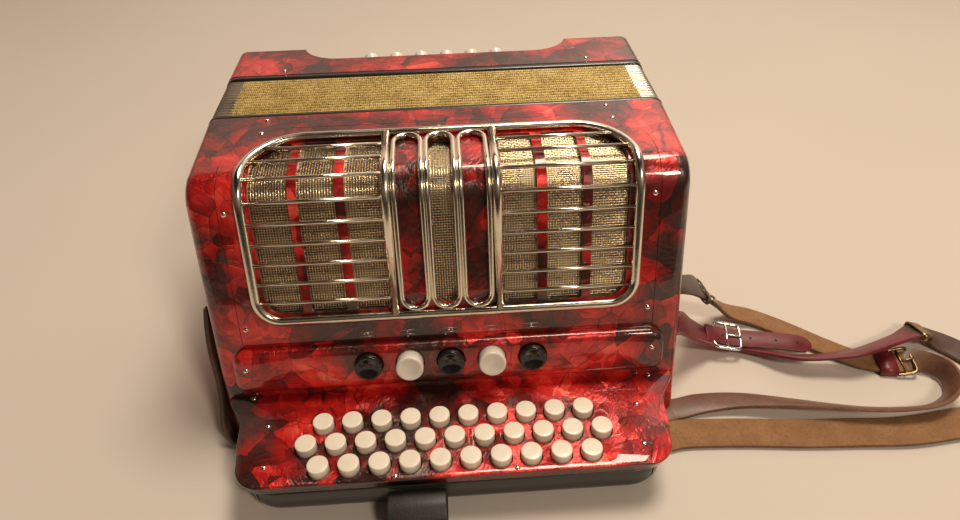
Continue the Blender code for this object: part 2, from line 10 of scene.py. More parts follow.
import bpy
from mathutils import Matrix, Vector


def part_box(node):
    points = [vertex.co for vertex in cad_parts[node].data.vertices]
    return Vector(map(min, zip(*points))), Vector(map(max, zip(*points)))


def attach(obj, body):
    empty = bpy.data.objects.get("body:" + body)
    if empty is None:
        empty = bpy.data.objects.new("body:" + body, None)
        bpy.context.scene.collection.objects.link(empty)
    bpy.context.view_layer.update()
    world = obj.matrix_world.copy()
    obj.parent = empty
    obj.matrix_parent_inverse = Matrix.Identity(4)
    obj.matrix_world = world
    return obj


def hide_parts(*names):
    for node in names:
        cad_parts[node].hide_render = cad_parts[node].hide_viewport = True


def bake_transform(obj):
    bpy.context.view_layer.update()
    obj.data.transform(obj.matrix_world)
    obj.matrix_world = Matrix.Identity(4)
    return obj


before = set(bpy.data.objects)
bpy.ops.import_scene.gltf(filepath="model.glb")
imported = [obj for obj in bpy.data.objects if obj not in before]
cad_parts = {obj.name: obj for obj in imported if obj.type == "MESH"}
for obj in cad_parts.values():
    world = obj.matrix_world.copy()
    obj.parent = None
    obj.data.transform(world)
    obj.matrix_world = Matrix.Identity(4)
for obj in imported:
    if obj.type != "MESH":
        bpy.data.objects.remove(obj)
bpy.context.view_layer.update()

TREBLE = "treble_side"
BASS = "bass_side"
HALF_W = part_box("treble_casing")[1].x * 1000
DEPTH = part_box("treble_casing")[1].z * 1000
TOP_EDGE = (169.0, 190.0)
Y_ORIGIN = TOP_EDGE[0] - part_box("treble_casing")[1].y * 1000
BEND_CORNER = (91.67, 184.6)
BEND_R = 24.0
TOP_SLOPE = math.radians(4.0)
FACE_SLOPE = math.radians(73.25)

BUTTON_PITCH = 19.6
ROW_PITCH = 16.8
BUTTON_R = 6.9
BUTTON_TOP = 42.4
PLATE_TOP = 36.4
PLATE_LOW = 26.9
BLOCK_LOW = 5.0
REGISTER_PITCH = 28.3
REGISTER_R = 9.3
REGISTER_S = 203.5
BASS_PITCH = 20.4
BASS_R = 5.5
BASS_TILT = math.radians(32.0)
BELLOWS_Y = (173.6, 230.0)
FOLDS = 14
BASS_Y = (236.3, 290.5)
SCOOP_Y = 262.0
WINDOWS = [(-121.8, -97.3), (-91.3, -67.8), (-61.3, -39.2)]


def at(x, y, z):
    return Vector((x / 1000, (y - Y_ORIGIN) / 1000, z / 1000))


# ---------------------------------------------------------------- camera, floor and light


# Degrees turned about X, Y and Z, from looking straight down.
CAMERA_TURN = (49.873, 1.002, -3.604)
CAMERA_LENS = 25.95


def place_camera():
    camera = bpy.data.objects.new("camera", bpy.data.cameras.new("camera"))
    camera.location = at(6, -276, 423.4)
    camera.rotation_euler = [math.radians(turn) for turn in CAMERA_TURN]
    camera.data.lens = CAMERA_LENS
    camera.data.sensor_width = 36
    camera.data.clip_start = 0.01
    bpy.context.collection.objects.link(camera)
    bpy.context.scene.camera = camera
    bpy.context.scene.view_settings.view_transform = "Standard"


def area_light(name, place, target, size, power, colour):
    light = bpy.data.lights.new(name, "AREA")
    light.shape = "RECTANGLE"
    light.size, light.size_y = size
    light.energy = power
    light.color = colour
    obj = bpy.data.objects.new(name, light)
    obj.location = place
    obj.rotation_euler = (Vector(target) - Vector(place)).to_track_quat("-Z", "Y").to_euler()
    bpy.context.collection.objects.link(obj)


def light_scene():
    area_light("front_lamp", (0.95, -1.45, 1.75), (0, 0, 0.1), (0.34, 0.34), 18, (1.0, 0.84, 0.66))
    area_light("room_lamp", (0.45, 0.50, 2.0), (0.1, 0, 0.1), (0.7, 0.7), 30, (1.0, 0.85, 0.68))
    world = bpy.data.worlds.new("room")
    world.use_nodes = True
    bpy.context.scene.world = world
    tree = world.node_tree
    coords = tree.nodes.new("ShaderNodeTexCoord")
    split = tree.nodes.new("ShaderNodeSeparateXYZ")
    tree.links.new(coords.outputs["Generated"], split.inputs[0])
    colour = world_ramp(tree, split.outputs["Z"], WALL_BY_HEIGHT)
    for axis, stops in (("Y", WALL_BY_DEPTH), ("X", WALL_BY_SIDE)):
        both = tree.nodes.new("ShaderNodeMix")
        both.data_type, both.blend_type = "RGBA", "MULTIPLY"
        both.inputs[0].default_value = 1.0
        tree.links.new(colour, both.inputs[6])
        tree.links.new(world_ramp(tree, split.outputs[axis], stops), both.inputs[7])
        colour = both.outputs[2]
    background = tree.nodes["Background"]
    tree.links.new(colour, background.inputs["Color"])
    background.inputs["Strength"].default_value = 2.6


# The pale wall behind the table is lit up to about 45 degrees, more on the right, under a dim ceiling.
WHITE_LIGHT = (1.0, 1.0, 1.0)
WALL_BY_HEIGHT = [
    (0.0, (0.10, 0.08, 0.06)),
    (0.34, (0.42, 0.32, 0.26)),
    (0.66, (0.72, 0.56, 0.47)),
    (0.77, (0.05, 0.04, 0.03)),
]
WALL_BY_DEPTH = [(0.0, (0.20,) * 3), (0.35, (0.22,) * 3), (0.65, WHITE_LIGHT), (1.0, WHITE_LIGHT)]
WALL_BY_SIDE = [
    (0.0, (0.45, 0.40, 0.38)),
    (0.12, (0.62, 0.58, 0.56)),
    (0.30, WHITE_LIGHT),
    (1.0, WHITE_LIGHT),
]


def set_stops(ramp_node, stops):
    band = ramp_node.color_ramp
    while len(band.elements) < len(stops):
        band.elements.new(0.5)
    for element, (where, colour) in zip(band.elements, stops):
        element.position = where
        element.color = (*colour, 1)
    return ramp_node.outputs[0]


def world_ramp(tree, factor, stops):
    made = tree.nodes.new("ShaderNodeValToRGB")
    tree.links.new(factor, made.inputs[0])
    return set_stops(made, stops)


def make_floor():
    mesh = bpy.data.meshes.new("floor")
    corners = [(-6, -0.75, 0), (6, -0.75, 0), (6, 6, 0), (-6, 6, 0)]
    mesh.from_pydata(corners, [], [(0, 1, 2, 3)])
    mesh.materials.append(floor_finish())
    floor = bpy.data.objects.new("floor", mesh)
    bpy.context.collection.objects.link(floor)


# ---------------------------------------------------------------- material helpers


def new_finish(name, colour=(0.5, 0.5, 0.5), metallic=0.0, roughness=0.4, **sockets):
    """A Principled material. Other sockets are given by name with underscores for spaces."""
    finish = bpy.data.materials.new(name)
    finish.use_nodes = True
    shader = finish.node_tree.nodes["Principled BSDF"]
    shader.inputs["Base Color"].default_value = (*colour, 1)
    shader.inputs["Metallic"].default_value = metallic
    shader.inputs["Roughness"].default_value = roughness
    for socket, value in sockets.items():
        shader.inputs[socket.replace("_", " ")].default_value = value
    return finish


def node(finish, kind, inputs=None, **settings):
    """One shader node. Each input is a constant or another node's output."""
    made = finish.node_tree.nodes.new("ShaderNode" + kind)
    for key, value in settings.items():
        setattr(made, key, value)
    for key, value in (inputs or {}).items():
        if isinstance(value, bpy.types.NodeSocket):
            finish.node_tree.links.new(value, made.inputs[key])
        else:
            made.inputs[key].default_value = value
    return made


def plug(finish, socket, output):
    finish.node_tree.links.new(output, finish.node_tree.nodes["Principled BSDF"].inputs[socket])


def math_node(finish, operation, a, b=0.0, clamp=False):
    return node(finish, "Math", {0: a, 1: b}, operation=operation, use_clamp=clamp).outputs[0]


def vector_node(finish, operation, a, b=(0, 0, 0)):
    made = node(finish, "VectorMath", {0: a, 1: b}, operation=operation)
    return made.outputs["Value"] if operation == "DOT_PRODUCT" else made.outputs[0]


def scaled(finish, vector, amount):
    return node(finish, "VectorMath", {0: vector, "Scale": amount}, operation="SCALE").outputs[0]


def mixed(finish, factor, a, b, blend="MIX"):
    made = node(finish, "Mix", data_type="RGBA", blend_type=blend)
    for index, value in ((0, factor), (6, a), (7, b)):
        if isinstance(value, bpy.types.NodeSocket):
            finish.node_tree.links.new(value, made.inputs[index])
        else:
            made.inputs[index].default_value = value if index == 0 else (*value, 1)
    return made.outputs[2]


def ramp(finish, factor, stops):
    return set_stops(node(finish, "ValToRGB", {0: factor}), stops)


def noise(finish, vector, scale, detail=3.0, rough=0.5):
    inputs = {"Vector": vector, "Scale": scale, "Detail": detail, "Roughness": rough}
    return node(finish, "TexNoise", inputs)


def object_coords(finish):
    return node(finish, "TexCoord").outputs["Object"]


def bump(finish, height, strength, distance, socket="Normal"):
    made = node(finish, "Bump", {"Height": height, "Strength": strength, "Distance": distance})
    plug(finish, socket, made.outputs[0])
    return made


def between(finish, value, low, high, to_low=0.0, to_high=1.0):
    names = {"Value": value, "From Min": low, "From Max": high, "To Min": to_low, "To Max": to_high}
    return node(finish, "MapRange", names).outputs[0]


# ---------------------------------------------------------------- materials


def flakes(finish, coords, scale, warp_scale, warp, seed):
    """Random facets: each cell's tone, its slope across the cell, and its distance to the next cell."""
    shifted = vector_node(finish, "ADD", coords, (seed, seed * 0.7, -seed))
    wobble = noise(finish, shifted, warp_scale, 2.0).outputs["Color"]
    wobble = scaled(finish, vector_node(finish, "SUBTRACT", wobble, (0.5, 0.5, 0.5)), warp)
    place = vector_node(finish, "ADD", shifted, wobble)
    cell = node(finish, "TexVoronoi", {"Vector": place, "Scale": scale})
    edge = node(finish, "TexVoronoi", {"Vector": place, "Scale": scale}, feature="DISTANCE_TO_EDGE")
    heading = vector_node(finish, "SUBTRACT", cell.outputs["Color"], (0.5, 0.5, 0.5))
    local = vector_node(finish, "SUBTRACT", place, cell.outputs["Position"])
    slope = vector_node(finish, "DOT_PRODUCT", scaled(finish, local, scale), scaled(finish, heading, 2.2))
    tone = node(finish, "SeparateColor", {0: cell.outputs["Color"]}).outputs[1]
    return tone, slope, edge.outputs["Distance"], local, heading


# From the dark ground between flakes to the brightest flake.
PEARL_REDS = [
    (0.12, (0.045, 0.014, 0.010)),
    (0.28, (0.12, 0.012, 0.009)),
    (0.42, (0.30, 0.010, 0.009)),
    (0.58, (0.56, 0.014, 0.012)),
    (0.76, (0.86, 0.035, 0.025)),
    (0.96, (1.0, 0.11, 0.07)),
]


def pearl_finish(name, shade=1.0):
    """Red pearl celluloid: crumpled bright flakes in a dark ground, under a clear polished skin. A shade
    below 1 dims every colour: a painted-shade copy for edges and hollow walls.
    """
    clear_skin = {"Coat_Weight": 1.0, "Coat_Roughness": 0.03, "Coat_IOR": 1.5}
    finish = new_finish(name, roughness=0.30, metallic=0.3, **clear_skin)
    coords = object_coords(finish)
    tone_a, slope_a, edge_a, local, heading = flakes(finish, coords, 40.0, 14.0, 0.030, 0.31)
    tone_b, slope_b, edge_b = flakes(finish, coords, 92.0, 30.0, 0.016, 0.87)[:3]
    turned = {"Vector": local, "Axis": heading, "Angle": 2.0}
    spun = node(finish, "VectorRotate", turned, rotation_type="AXIS_ANGLE")
    stretched = vector_node(finish, "MULTIPLY", spun.outputs[0], (45.0, 300.0, 300.0))
    streak = noise(finish, stretched, 1.0, 3.0, 0.6).outputs[0]
    large = noise(finish, coords, 15.0, 3.0, 0.5).outputs[0]
    value = between(finish, large, 0.36, 0.66, -0.10, 0.52)
    weights = ((tone_a, 0.14), (slope_a, 0.30), (tone_b, 0.08), (slope_b, 0.16), (streak, 0.26))
    for part, weight in weights:
        value = math_node(finish, "ADD", value, math_node(finish, "MULTIPLY", part, weight))
    colour = ramp(finish, value, [(share, [c * shade for c in red]) for share, red in PEARL_REDS])
    patchy = noise(finish, coords, 60.0, 2.0).outputs[0]
    crease = between(finish, edge_a, 0.0, 0.022, 0.30, 1.0)
    fine = between(finish, edge_b, 0.0, 0.030, 0.55, 1.0)
    dark = math_node(finish, "MULTIPLY", crease, fine)
    dark = math_node(finish, "MAXIMUM", dark, between(finish, patchy, 0.46, 0.56))
    plug(finish, "Base Color", mixed(finish, 1.0, colour, dark, "MULTIPLY"))
    height = math_node(finish, "ADD", slope_a, math_node(finish, "MULTIPLY", slope_b, 0.5))
    height = math_node(finish, "ADD", height, math_node(finish, "MULTIPLY", streak, 0.5))
    bump(finish, height, 0.4, 0.004)
    skin = noise(finish, coords, 40.0, 2.0).outputs[0]
    bump(finish, skin, 0.05, 0.002, "Coat Normal")
    return finish


def metal_finish(name, colour, roughness, grain=0.08, dull=0.25):
    """Plated metal with fine grain, and dull patches where it has worn."""
    finish = new_finish(name, colour, metallic=1.0, roughness=roughness)
    coords = object_coords(finish)
    patch = noise(finish, coords, 45.0, 4.0, 0.6).outputs[0]
    fine = noise(finish, coords, 900.0, 2.0).outputs[0]
    plug(finish, "Roughness", between(finish, patch, 0.35, 0.75, roughness * 0.8, roughness + dull * 0.5))
    darker = tuple(c * 0.62 for c in colour)
    plug(finish, "Base Color", mixed(finish, between(finish, patch, 0.55, 0.8, 0.0, 0.6), colour, darker))
    bump(finish, fine, grain, 0.0003)
    return finish


def plastic_finish(name, colour, roughness, tint, grain=0.05, soft=0.0):
    """Moulded or turned plastic with faint mottling and handling marks."""
    finish = new_finish(name, colour, roughness=roughness, Coat_Weight=0.25, Coat_Roughness=0.12)
    if soft:
        shader = finish.node_tree.nodes["Principled BSDF"]
        shader.inputs["Subsurface Weight"].default_value = soft
        shader.inputs["Subsurface Scale"].default_value = 0.002
    coords = object_coords(finish)
    cloud = noise(finish, coords, 110.0, 3.0).outputs[0]
    marks = noise(finish, coords, 1500.0, 2.0).outputs[0]
    plug(finish, "Base Color", mixed(finish, between(finish, cloud, 0.3, 0.75), colour, tint))
    plug(finish, "Roughness", between(finish, cloud, 0.3, 0.8, roughness * 0.8, roughness * 1.35))
    bump(finish, marks, grain, 0.0002)
    return finish


def leather_finish(name, colour, worn, roughness, grain_scale=1300.0, depth=0.25, coat=0.0):
    """Leather: pebbled grain, cloudy dye, and paler wear."""
    finish = new_finish(name, colour, roughness=roughness, Coat_Weight=coat, Coat_Roughness=0.3)
    coords = object_coords(finish)
    pebbles = {"Vector": coords, "Scale": grain_scale}
    grain = node(finish, "TexVoronoi", pebbles, feature="SMOOTH_F1").outputs[0]
    cloud = noise(finish, coords, 70.0, 4.0, 0.6).outputs[0]
    fine = noise(finish, coords, 480.0, 3.0, 0.7).outputs[0]
    dyed = mixed(finish, between(finish, cloud, 0.35, 0.72), colour, worn)
    dark = tuple(c * 0.6 for c in colour)
    plug(finish, "Base Color", mixed(finish, between(finish, fine, 0.48, 0.72, 0.0, 0.55), dyed, dark))
    height = math_node(finish, "ADD", math_node(finish, "MULTIPLY", grain, 0.6), fine)
    bump(finish, height, depth, 0.0008)
    plug(finish, "Roughness", between(finish, cloud, 0.2, 0.8, roughness * 0.85, min(1.0, roughness * 1.15)))
    return finish


def gold_cloth_finish():
    """Gold bookbinding cloth: short bright threads over and under, in rows along the fold."""
    finish = new_finish("gold_cloth", roughness=0.5, metallic=0.35, Sheen_Weight=0.15)
    coords = object_coords(finish)
    threads = vector_node(finish, "MULTIPLY", coords, (520.0, 1250.0, 900.0))
    weave = noise(finish, threads, 1.0, 2.0, 0.6).outputs[0]
    rows = {"Vector": coords, "Scale": 210.0, "Distortion": 3.0, "Detail": 1.0}
    across = node(finish, "TexWave", rows, bands_direction="X").outputs["Fac"]
    cloud = noise(finish, coords, 60.0, 3.0).outputs[0]
    light = math_node(finish, "ADD", weave, math_node(finish, "MULTIPLY", across, 0.22))
    light = math_node(finish, "ADD", light, between(finish, cloud, 0.3, 0.7, -0.08, 0.08))
    plug(finish, "Base Color", ramp(finish, light, [
        (0.36, (0.20, 0.125, 0.030)),
        (0.52, (0.47, 0.33, 0.095)),
        (0.68, (0.68, 0.52, 0.19)),
        (0.86, (0.88, 0.74, 0.40)),
    ]))
    bump(finish, light, 0.5, 0.0006)
    return finish


def lacquer_finish(name, colour, roughness, coat=0.4):
    """Painted or lacquered wood with faint brush waves and dust. The near-black painted shade in hollows is
    made with it too.
    """
    finish = new_finish(name, colour, roughness=roughness, Coat_Weight=coat, Coat_Roughness=0.15)
    coords = object_coords(finish)
    waves = noise(finish, vector_node(finish, "MULTIPLY", coords, (12.0, 160.0, 160.0)), 1.0, 3.0).outputs[0]
    dust = noise(finish, coords, 620.0, 3.0, 0.7).outputs[0]
    paler = tuple(c * 1.7 + 0.01 for c in colour)
    plug(finish, "Base Color", mixed(finish, between(finish, dust, 0.55, 0.8, 0.0, 0.5), colour, paler))
    plug(finish, "Roughness", between(finish, waves, 0.3, 0.7, roughness * 0.8, roughness * 1.3))
    bump(finish, waves, 0.08, 0.001)
    return finish


def wood_finish():
    finish = new_finish("spruce", roughness=0.6)
    coords = object_coords(finish)
    grain = noise(finish, vector_node(finish, "MULTIPLY", coords, (8.0, 240.0, 240.0)), 1.0, 4.0).outputs[0]
    plug(finish, "Base Color", ramp(finish, grain, [(0.35, (0.30, 0.19, 0.09)), (0.7, (0.58, 0.42, 0.24))]))
    bump(finish, grain, 0.2, 0.0005)
    return finish


def floor_finish():
    finish = new_finish("pale_cloth", roughness=0.85)
    coords = object_coords(finish)
    cloud = noise(finish, coords, 3.0, 3.0).outputs[0]
    plug(finish, "Base Color", mixed(finish, cloud, (0.66, 0.60, 0.53), (0.72, 0.66, 0.58)))
    return finish


PEARL = pearl_finish("red_pearl")
# A copy of the red pearl at 0.22 brightness: painted shade on the fingerboard's side band, and on the walls
# of the panel's windows and of the holes.
PEARL_SHADED = pearl_finish("red_pearl_shaded", 0.22)
# Near-black painted shade: the insides of the casings and of the keyboard block, the walls of holes and
# cut-outs, the deep valleys of the bellows, the sheet behind the grille weave, and the holes in the strap
# tongue.
HOLLOW_SHADE = lacquer_finish("painted_hollow_shade", (0.012, 0.009, 0.008), 0.7, 0.0)
CHROME = metal_finish("worn_chrome", (0.80, 0.74, 0.62), 0.16)
STEEL = metal_finish("bright_steel", (0.78, 0.77, 0.73), 0.14)
CORNER = metal_finish("corner_steel", (0.72, 0.66, 0.55), 0.34)
WIRE = metal_finish("mesh_wire", (0.88, 0.72, 0.46), 0.24, 0.02)
DARK_BRASS = metal_finish("dark_brass", (0.30, 0.21, 0.11), 0.35)
IVORY = plastic_finish("cream_plastic", (0.88, 0.80, 0.66), 0.34, (0.92, 0.86, 0.74), soft=0.15)
WHITE = plastic_finish("white_plastic", (0.90, 0.86, 0.78), 0.28, (0.86, 0.80, 0.70), soft=0.15)
JET = plastic_finish("jet_plastic", (0.008, 0.008, 0.009), 0.12, (0.014, 0.013, 0.012))
BLACK_PAINT = lacquer_finish("black_paint", (0.022, 0.023, 0.021), 0.36)
LACQUER = lacquer_finish("black_lacquer", (0.010, 0.008, 0.007), 0.30, 0.8)
GOLD_CLOTH = gold_cloth_finish()
SUEDE = leather_finish("tan_suede", (0.27, 0.135, 0.055), (0.36, 0.195, 0.09), 0.92, 800.0, 0.5)
HIDE_BROWN = leather_finish("brown_hide", (0.13, 0.055, 0.03), (0.22, 0.10, 0.055), 0.5, 1100.0, 0.2, 0.25)
HIDE_DARK = leather_finish(
    "dark_hide", (0.055, 0.028, 0.018), (0.11, 0.055, 0.035), 0.48, 1100.0, 0.2, 0.25
)
BURGUNDY = leather_finish(
    "burgundy_hide", (0.135, 0.008, 0.014), (0.21, 0.018, 0.026), 0.42, 1500.0, 0.15, 0.22
)
HIDE_BLACK = leather_finish(
    "black_hide", (0.014, 0.013, 0.012), (0.03, 0.028, 0.026), 0.55, 1200.0, 0.3, 0.2
)
RAW_EDGE = leather_finish("cut_edge", (0.17, 0.085, 0.045), (0.26, 0.14, 0.08), 0.8, 900.0, 0.4)
THREAD = plastic_finish("waxed_thread", (0.55, 0.42, 0.26), 0.7, (0.48, 0.36, 0.22))
INLAY = metal_finish("inlay_silver", (0.78, 0.76, 0.72), 0.3)
SPRUCE = wood_finish()


# ---------------------------------------------------------------- shape helpers


def build(name, points, faces, finishes, face_finish=None):
    mesh = bpy.data.meshes.new(name)
    mesh.from_pydata([at(*p) for p in points], [], faces)
    for finish in finishes:
        mesh.materials.append(finish)
    if face_finish:
        mesh.polygons.foreach_set("material_index", face_finish)
    mesh.polygons.foreach_set("use_smooth", [True] * len(mesh.polygons))
    mesh.update()
    obj = bpy.data.objects.new(name, mesh)
    bpy.context.collection.objects.link(obj)
    volume = sum(volume_of(mesh, p) for p in mesh.polygons)
    if volume < 0:
        mesh.flip_normals()
    return obj


def volume_of(mesh, polygon):
    """The signed volume under one face, as a fan of tetrahedra from the origin."""
    corners = [mesh.vertices[i].co for i in polygon.vertices]
    return sum(corners[0].dot(a.cross(b)) for a, b in zip(corners[1:], corners[2:]))


def place(obj, body, slot, *nodes):
    """Rides obj on its body, and stands for the CAD nodes named. The slot is not used."""
    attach(obj, body)
    if nodes:
        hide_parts(*nodes)
    return obj


def loft(name, sections, finishes, closed=False, caps=True, side_finish=None, cap_finish=(0, 0)):
    """A skin through sections of equal point counts. side_finish(i, k) gives a face's material index."""
    count = len(sections[0])
    points = [p for section in sections for p in section]
    faces, index = [], []
    for i in range(len(sections) if closed else len(sections) - 1):
        j = (i + 1) % len(sections)
        for k in range(count):
            m = (k + 1) % count
            faces.append((i * count + k, i * count + m, j * count + m, j * count + k))
            index.append(side_finish(i, k) if side_finish else 0)
    if caps and not closed:
        faces.append(tuple(reversed(range(count))))
        faces.append(tuple((len(sections) - 1) * count + k for k in range(count)))
        index += list(cap_finish)
    return build(name, points, faces, finishes, index)


def second(i, k):
    """A side_finish that gives every face the second material."""
    return 1


def hollow(sections, finishes):
    """A cutting shape, which leaves the second finish on the walls that it makes."""
    return loft("hollow", sections, finishes, side_finish=second, cap_finish=(1, 1))


def box_cutter(low, high, finishes):
    (x0, y0, z0), (x1, y1, z1) = low, high
    corners = ((x0, y0), (x1, y0), (x1, y1), (x0, y1))
    return hollow([[(x, y, z) for x, y in corners] for z in (z0, z1)], finishes)


def cut(obj, other):
    """Takes other away from obj, and removes it from the scene."""
    modifier = obj.modifiers.new("cut", "BOOLEAN")
    modifier.object = other
    modifier.solver = "EXACT"
    bpy.context.view_layer.update()
    graph = bpy.context.evaluated_depsgraph_get()
    mesh = bpy.data.meshes.new_from_object(obj.evaluated_get(graph))
    obj.modifiers.clear()
    obj.data = mesh
    bpy.data.objects.remove(other)


def soften(obj, width, segments=2, angle=35):
    """Rounds sharp edges and keeps flat faces flat in the shading."""
    modifier = obj.modifiers.new("edges", "BEVEL")
    modifier.width = width / 1000
    modifier.segments = segments
    modifier.limit_method = "ANGLE"
    modifier.angle_limit = math.radians(angle)
    modifier.harden_normals = True
    return obj


def joined(name, objects):
    """One object from several meshes, in the order given, that share one list of materials."""
    points, faces, index = [], [], []
    for obj in objects:
        start = len(points)
        points += [v.co.copy() for v in obj.data.vertices]
        for polygon in obj.data.polygons:
            faces.append(tuple(start + i for i in polygon.vertices))
            index.append(polygon.material_index)
    mesh = bpy.data.meshes.new(name)
    mesh.from_pydata(points, [], faces)
    for finish in objects[0].data.materials:
        mesh.materials.append(finish)
    mesh.polygons.foreach_set("material_index", index)
    mesh.polygons.foreach_set("use_smooth", [True] * len(mesh.polygons))
    for obj in objects:
        bpy.data.objects.remove(obj)
    made = bpy.data.objects.new(name, mesh)
    bpy.context.collection.objects.link(made)
    return made


def lathe(name, profile, base, axis, finishes, segments=48, step_finish=None):
    """A turned solid: profile holds (distance along axis, radius) and base is the point at distance 0."""
    axis = Vector(axis).normalized()
    side = (Vector((1, 0, 0)) - axis * axis.x).normalized() if abs(axis.x) < 0.9 else Vector((0, 1, 0))
    other = axis.cross(side)
    start = Vector(base)
    sections = []
    for along, radius in profile:
        ring = []
        for k in range(segments):
            turn = 2 * math.pi * k / segments
            spoke = (side * math.cos(turn) + other * math.sin(turn)) * radius
            ring.append(tuple(start + axis * along + spoke))
        sections.append(ring)
    return loft(name, sections, finishes, side_finish=step_finish)


def normal_at(angle):
    return (-math.sin(angle), math.cos(angle))


def profile_point(s, out=0.0):
    """(y, z) at a distance s along the front profile from its bellows edge, out mm outside the surface."""
    first = math.dist(TOP_EDGE, BEND_CORNER)
    turn = FACE_SLOPE - TOP_SLOPE
    trim = BEND_R * math.tan(turn / 2)
    arc = BEND_R * turn
    if s <= first - trim:
        angle = TOP_SLOPE
        y = TOP_EDGE[0] - math.cos(angle) * s
        z = TOP_EDGE[1] - math.sin(angle) * s
    elif s <= first - trim + arc:
        angle = TOP_SLOPE + (s - first + trim) / BEND_R
        n0, n1 = normal_at(TOP_SLOPE), normal_at(angle)
        y = TOP_EDGE[0] - math.cos(TOP_SLOPE) * (first - trim) + BEND_R * (n1[0] - n0[0])
        z = TOP_EDGE[1] - math.sin(TOP_SLOPE) * (first - trim) + BEND_R * (n1[1] - n0[1])
    else:
        angle = FACE_SLOPE
        rest = s - (first - trim + arc) + trim
        y = BEND_CORNER[0] - math.cos(angle) * rest
        z = BEND_CORNER[1] - math.sin(angle) * rest
    n = normal_at(angle)
    return y + n[0] * out, z + n[1] * out


def slope_at(s):
    """The unit normal (x, y, z) of the front profile at s."""
    (y0, z0), (y1, z1) = profile_point(s, 0), profile_point(s, 1)
    return (0, y1 - y0, z1 - z0)


FACE_NORMAL = (0, *normal_at(FACE_SLOPE))


def on_front(x, s, out=0.0):
    y, z = profile_point(s, out)
    return (x, y, z)


BEND_START = math.dist(TOP_EDGE, BEND_CORNER) - BEND_R * math.tan((FACE_SLOPE - TOP_SLOPE) / 2)
BEND_END = BEND_START + BEND_R * (FACE_SLOPE - TOP_SLOPE)
BEND_STEPS = 20


def levels(low, high, extra=(), phase=0.0):
    """Sorted distances from low to high, with the bend finely divided. A cutter takes its own phase."""
    count = BEND_STEPS + (1 if phase == 0 else 0)
    bend = [BEND_START + (BEND_END - BEND_START) * (k + phase) / BEND_STEPS for k in range(count)]
    found = sorted({round(s, 4) for s in [low, high, *bend, *extra] if low <= s <= high})
    return [s for k, s in enumerate(found) if k == 0 or s - found[k - 1] > 0.05]


def corner_inset(depth, radius):
    """How far a rounded corner's edge has drawn in at a depth measured from the end of the shape."""
    if depth >= radius:
        return 0.0
    return radius - math.sqrt(max(0.0, radius**2 - (radius - depth) ** 2))


def band(
    name, x_low, x_high, s_low, s_high, out_low, out_high, finishes, radii=(0, 0, 0, 0), phase=0.0, index=0
):
    """A piece that follows the front profile. radii: left top, right top, left bottom, right bottom."""
    extra = []
    ends = ((radii[0], s_low, 1), (radii[1], s_low, 1), (radii[2], s_high, -1), (radii[3], s_high, -1))
    for radius, end, sign in ends:
        if radius:
            extra += [end + sign * radius * (1 - math.cos(math.pi / 2 * k / 12)) for k in range(13)]
    sections = []
    for s in levels(s_low, s_high, extra, phase):
        top, bottom = s - s_low, s_high - s
        left = x_low + max(corner_inset(top, radii[0]), corner_inset(bottom, radii[2]))
        right = x_high - max(corner_inset(top, radii[1]), corner_inset(bottom, radii[3]))
        low_left, low_right = on_front(left, s, out_low), on_front(right, s, out_low)
        sections.append([low_left, low_right, on_front(right, s, out_high), on_front(left, s, out_high)])
    return loft(name, sections, finishes, side_finish=lambda i, k: index, cap_finish=(index, index))


def arc_points(cx, cy, radius, start, end, count):
    angles = [math.radians(start + (end - start) * k / count) for k in range(count + 1)]
    return [(cx + radius * math.cos(a), cy + radius * math.sin(a)) for a in angles]


def rounded_path(x0, x1, s0, s1, radii, steps=12, bend=True):
    """Points round a rectangle in (x, s): radii for left top, right top, right bottom, left bottom."""
    corners = ((x0, s0, 1, 1, 180), (x1, s0, -1, 1, 270), (x1, s1, -1, -1, 0), (x0, s1, 1, -1, 90))
    path = []
    for r, (x, s, into_x, into_s, start) in zip(radii, corners):
        path += arc_points(x + into_x * r, s + into_s * r, r, start, start + 90, steps)
    full = []
    for i, (x, s) in enumerate(path):
        full.append((x, s))
        nx, ns = path[(i + 1) % len(path)]
        if bend and abs(nx - x) < 0.01 and abs(ns - s) > 1:
            between_ends = levels(min(s, ns) + 0.6, max(s, ns) - 0.6)[1:-1]
            full += [(x, v) for v in (between_ends if ns > s else reversed(between_ends))]
    return full


def front_tube(name, path, half_wide, low, high, finish, closed, sides=12):
    """A bar of oval section along (x, s) points on the front."""
    sections = []
    count = len(path)
    for i, (x, s) in enumerate(path):
        before = path[(i - 1) % count] if closed or i else path[0]
        after = path[(i + 1) % count] if closed or i < count - 1 else path[-1]
        dx, ds = after[0] - before[0], after[1] - before[1]
        size = math.hypot(dx, ds)
        side_x, side_s = -ds / size, dx / size
        section = []
        for k in range(sides):
            turn = 2 * math.pi * k / sides
            across = math.cos(turn) * half_wide
            out = (low + high) / 2 + math.sin(turn) * (high - low) / 2
            section.append(on_front(x + side_x * across, s + side_s * across, out))
        sections.append(section)
    return loft(name, sections, [finish], closed=closed)


def smooth(points, per=8):
    """A Catmull-Rom curve through the points."""
    out = []
    pts = [Vector(p) for p in points]
    for i in range(len(pts) - 1):
        a, b, c, d = pts[max(i - 1, 0)], pts[i], pts[i + 1], pts[min(i + 2, len(pts) - 1)]
        for k in range(per):
            t = k / per
            cubic = (3 * b - a - 3 * c + d) * t**3
            out.append(0.5 * (2 * b + (c - a) * t + (2 * a - 5 * b + 4 * c - d) * t * t + cubic))
    out.append(pts[-1])
    return out


# ---------------------------------------------------------------- treble casing and front


SIDE_ROUND = 9.0
ROOM_HALF = 153


def casing_outline(inset):
    """The treble casing's side outline in (y, z), drawn in by inset except at the bellows."""
    start = inset * math.tan(TOP_SLOPE)
    corner_z = profile_point(BEND_END, -inset)[1]
    end = BEND_END + (corner_z - inset) / math.sin(FACE_SLOPE)
    bend = [BEND_START + (BEND_END - BEND_START) * k / BEND_STEPS for k in range(BEND_STEPS + 1)]
    points = [profile_point(s, -inset) for s in [start, *bend, end]]
    return points + [(TOP_EDGE[0], inset)]


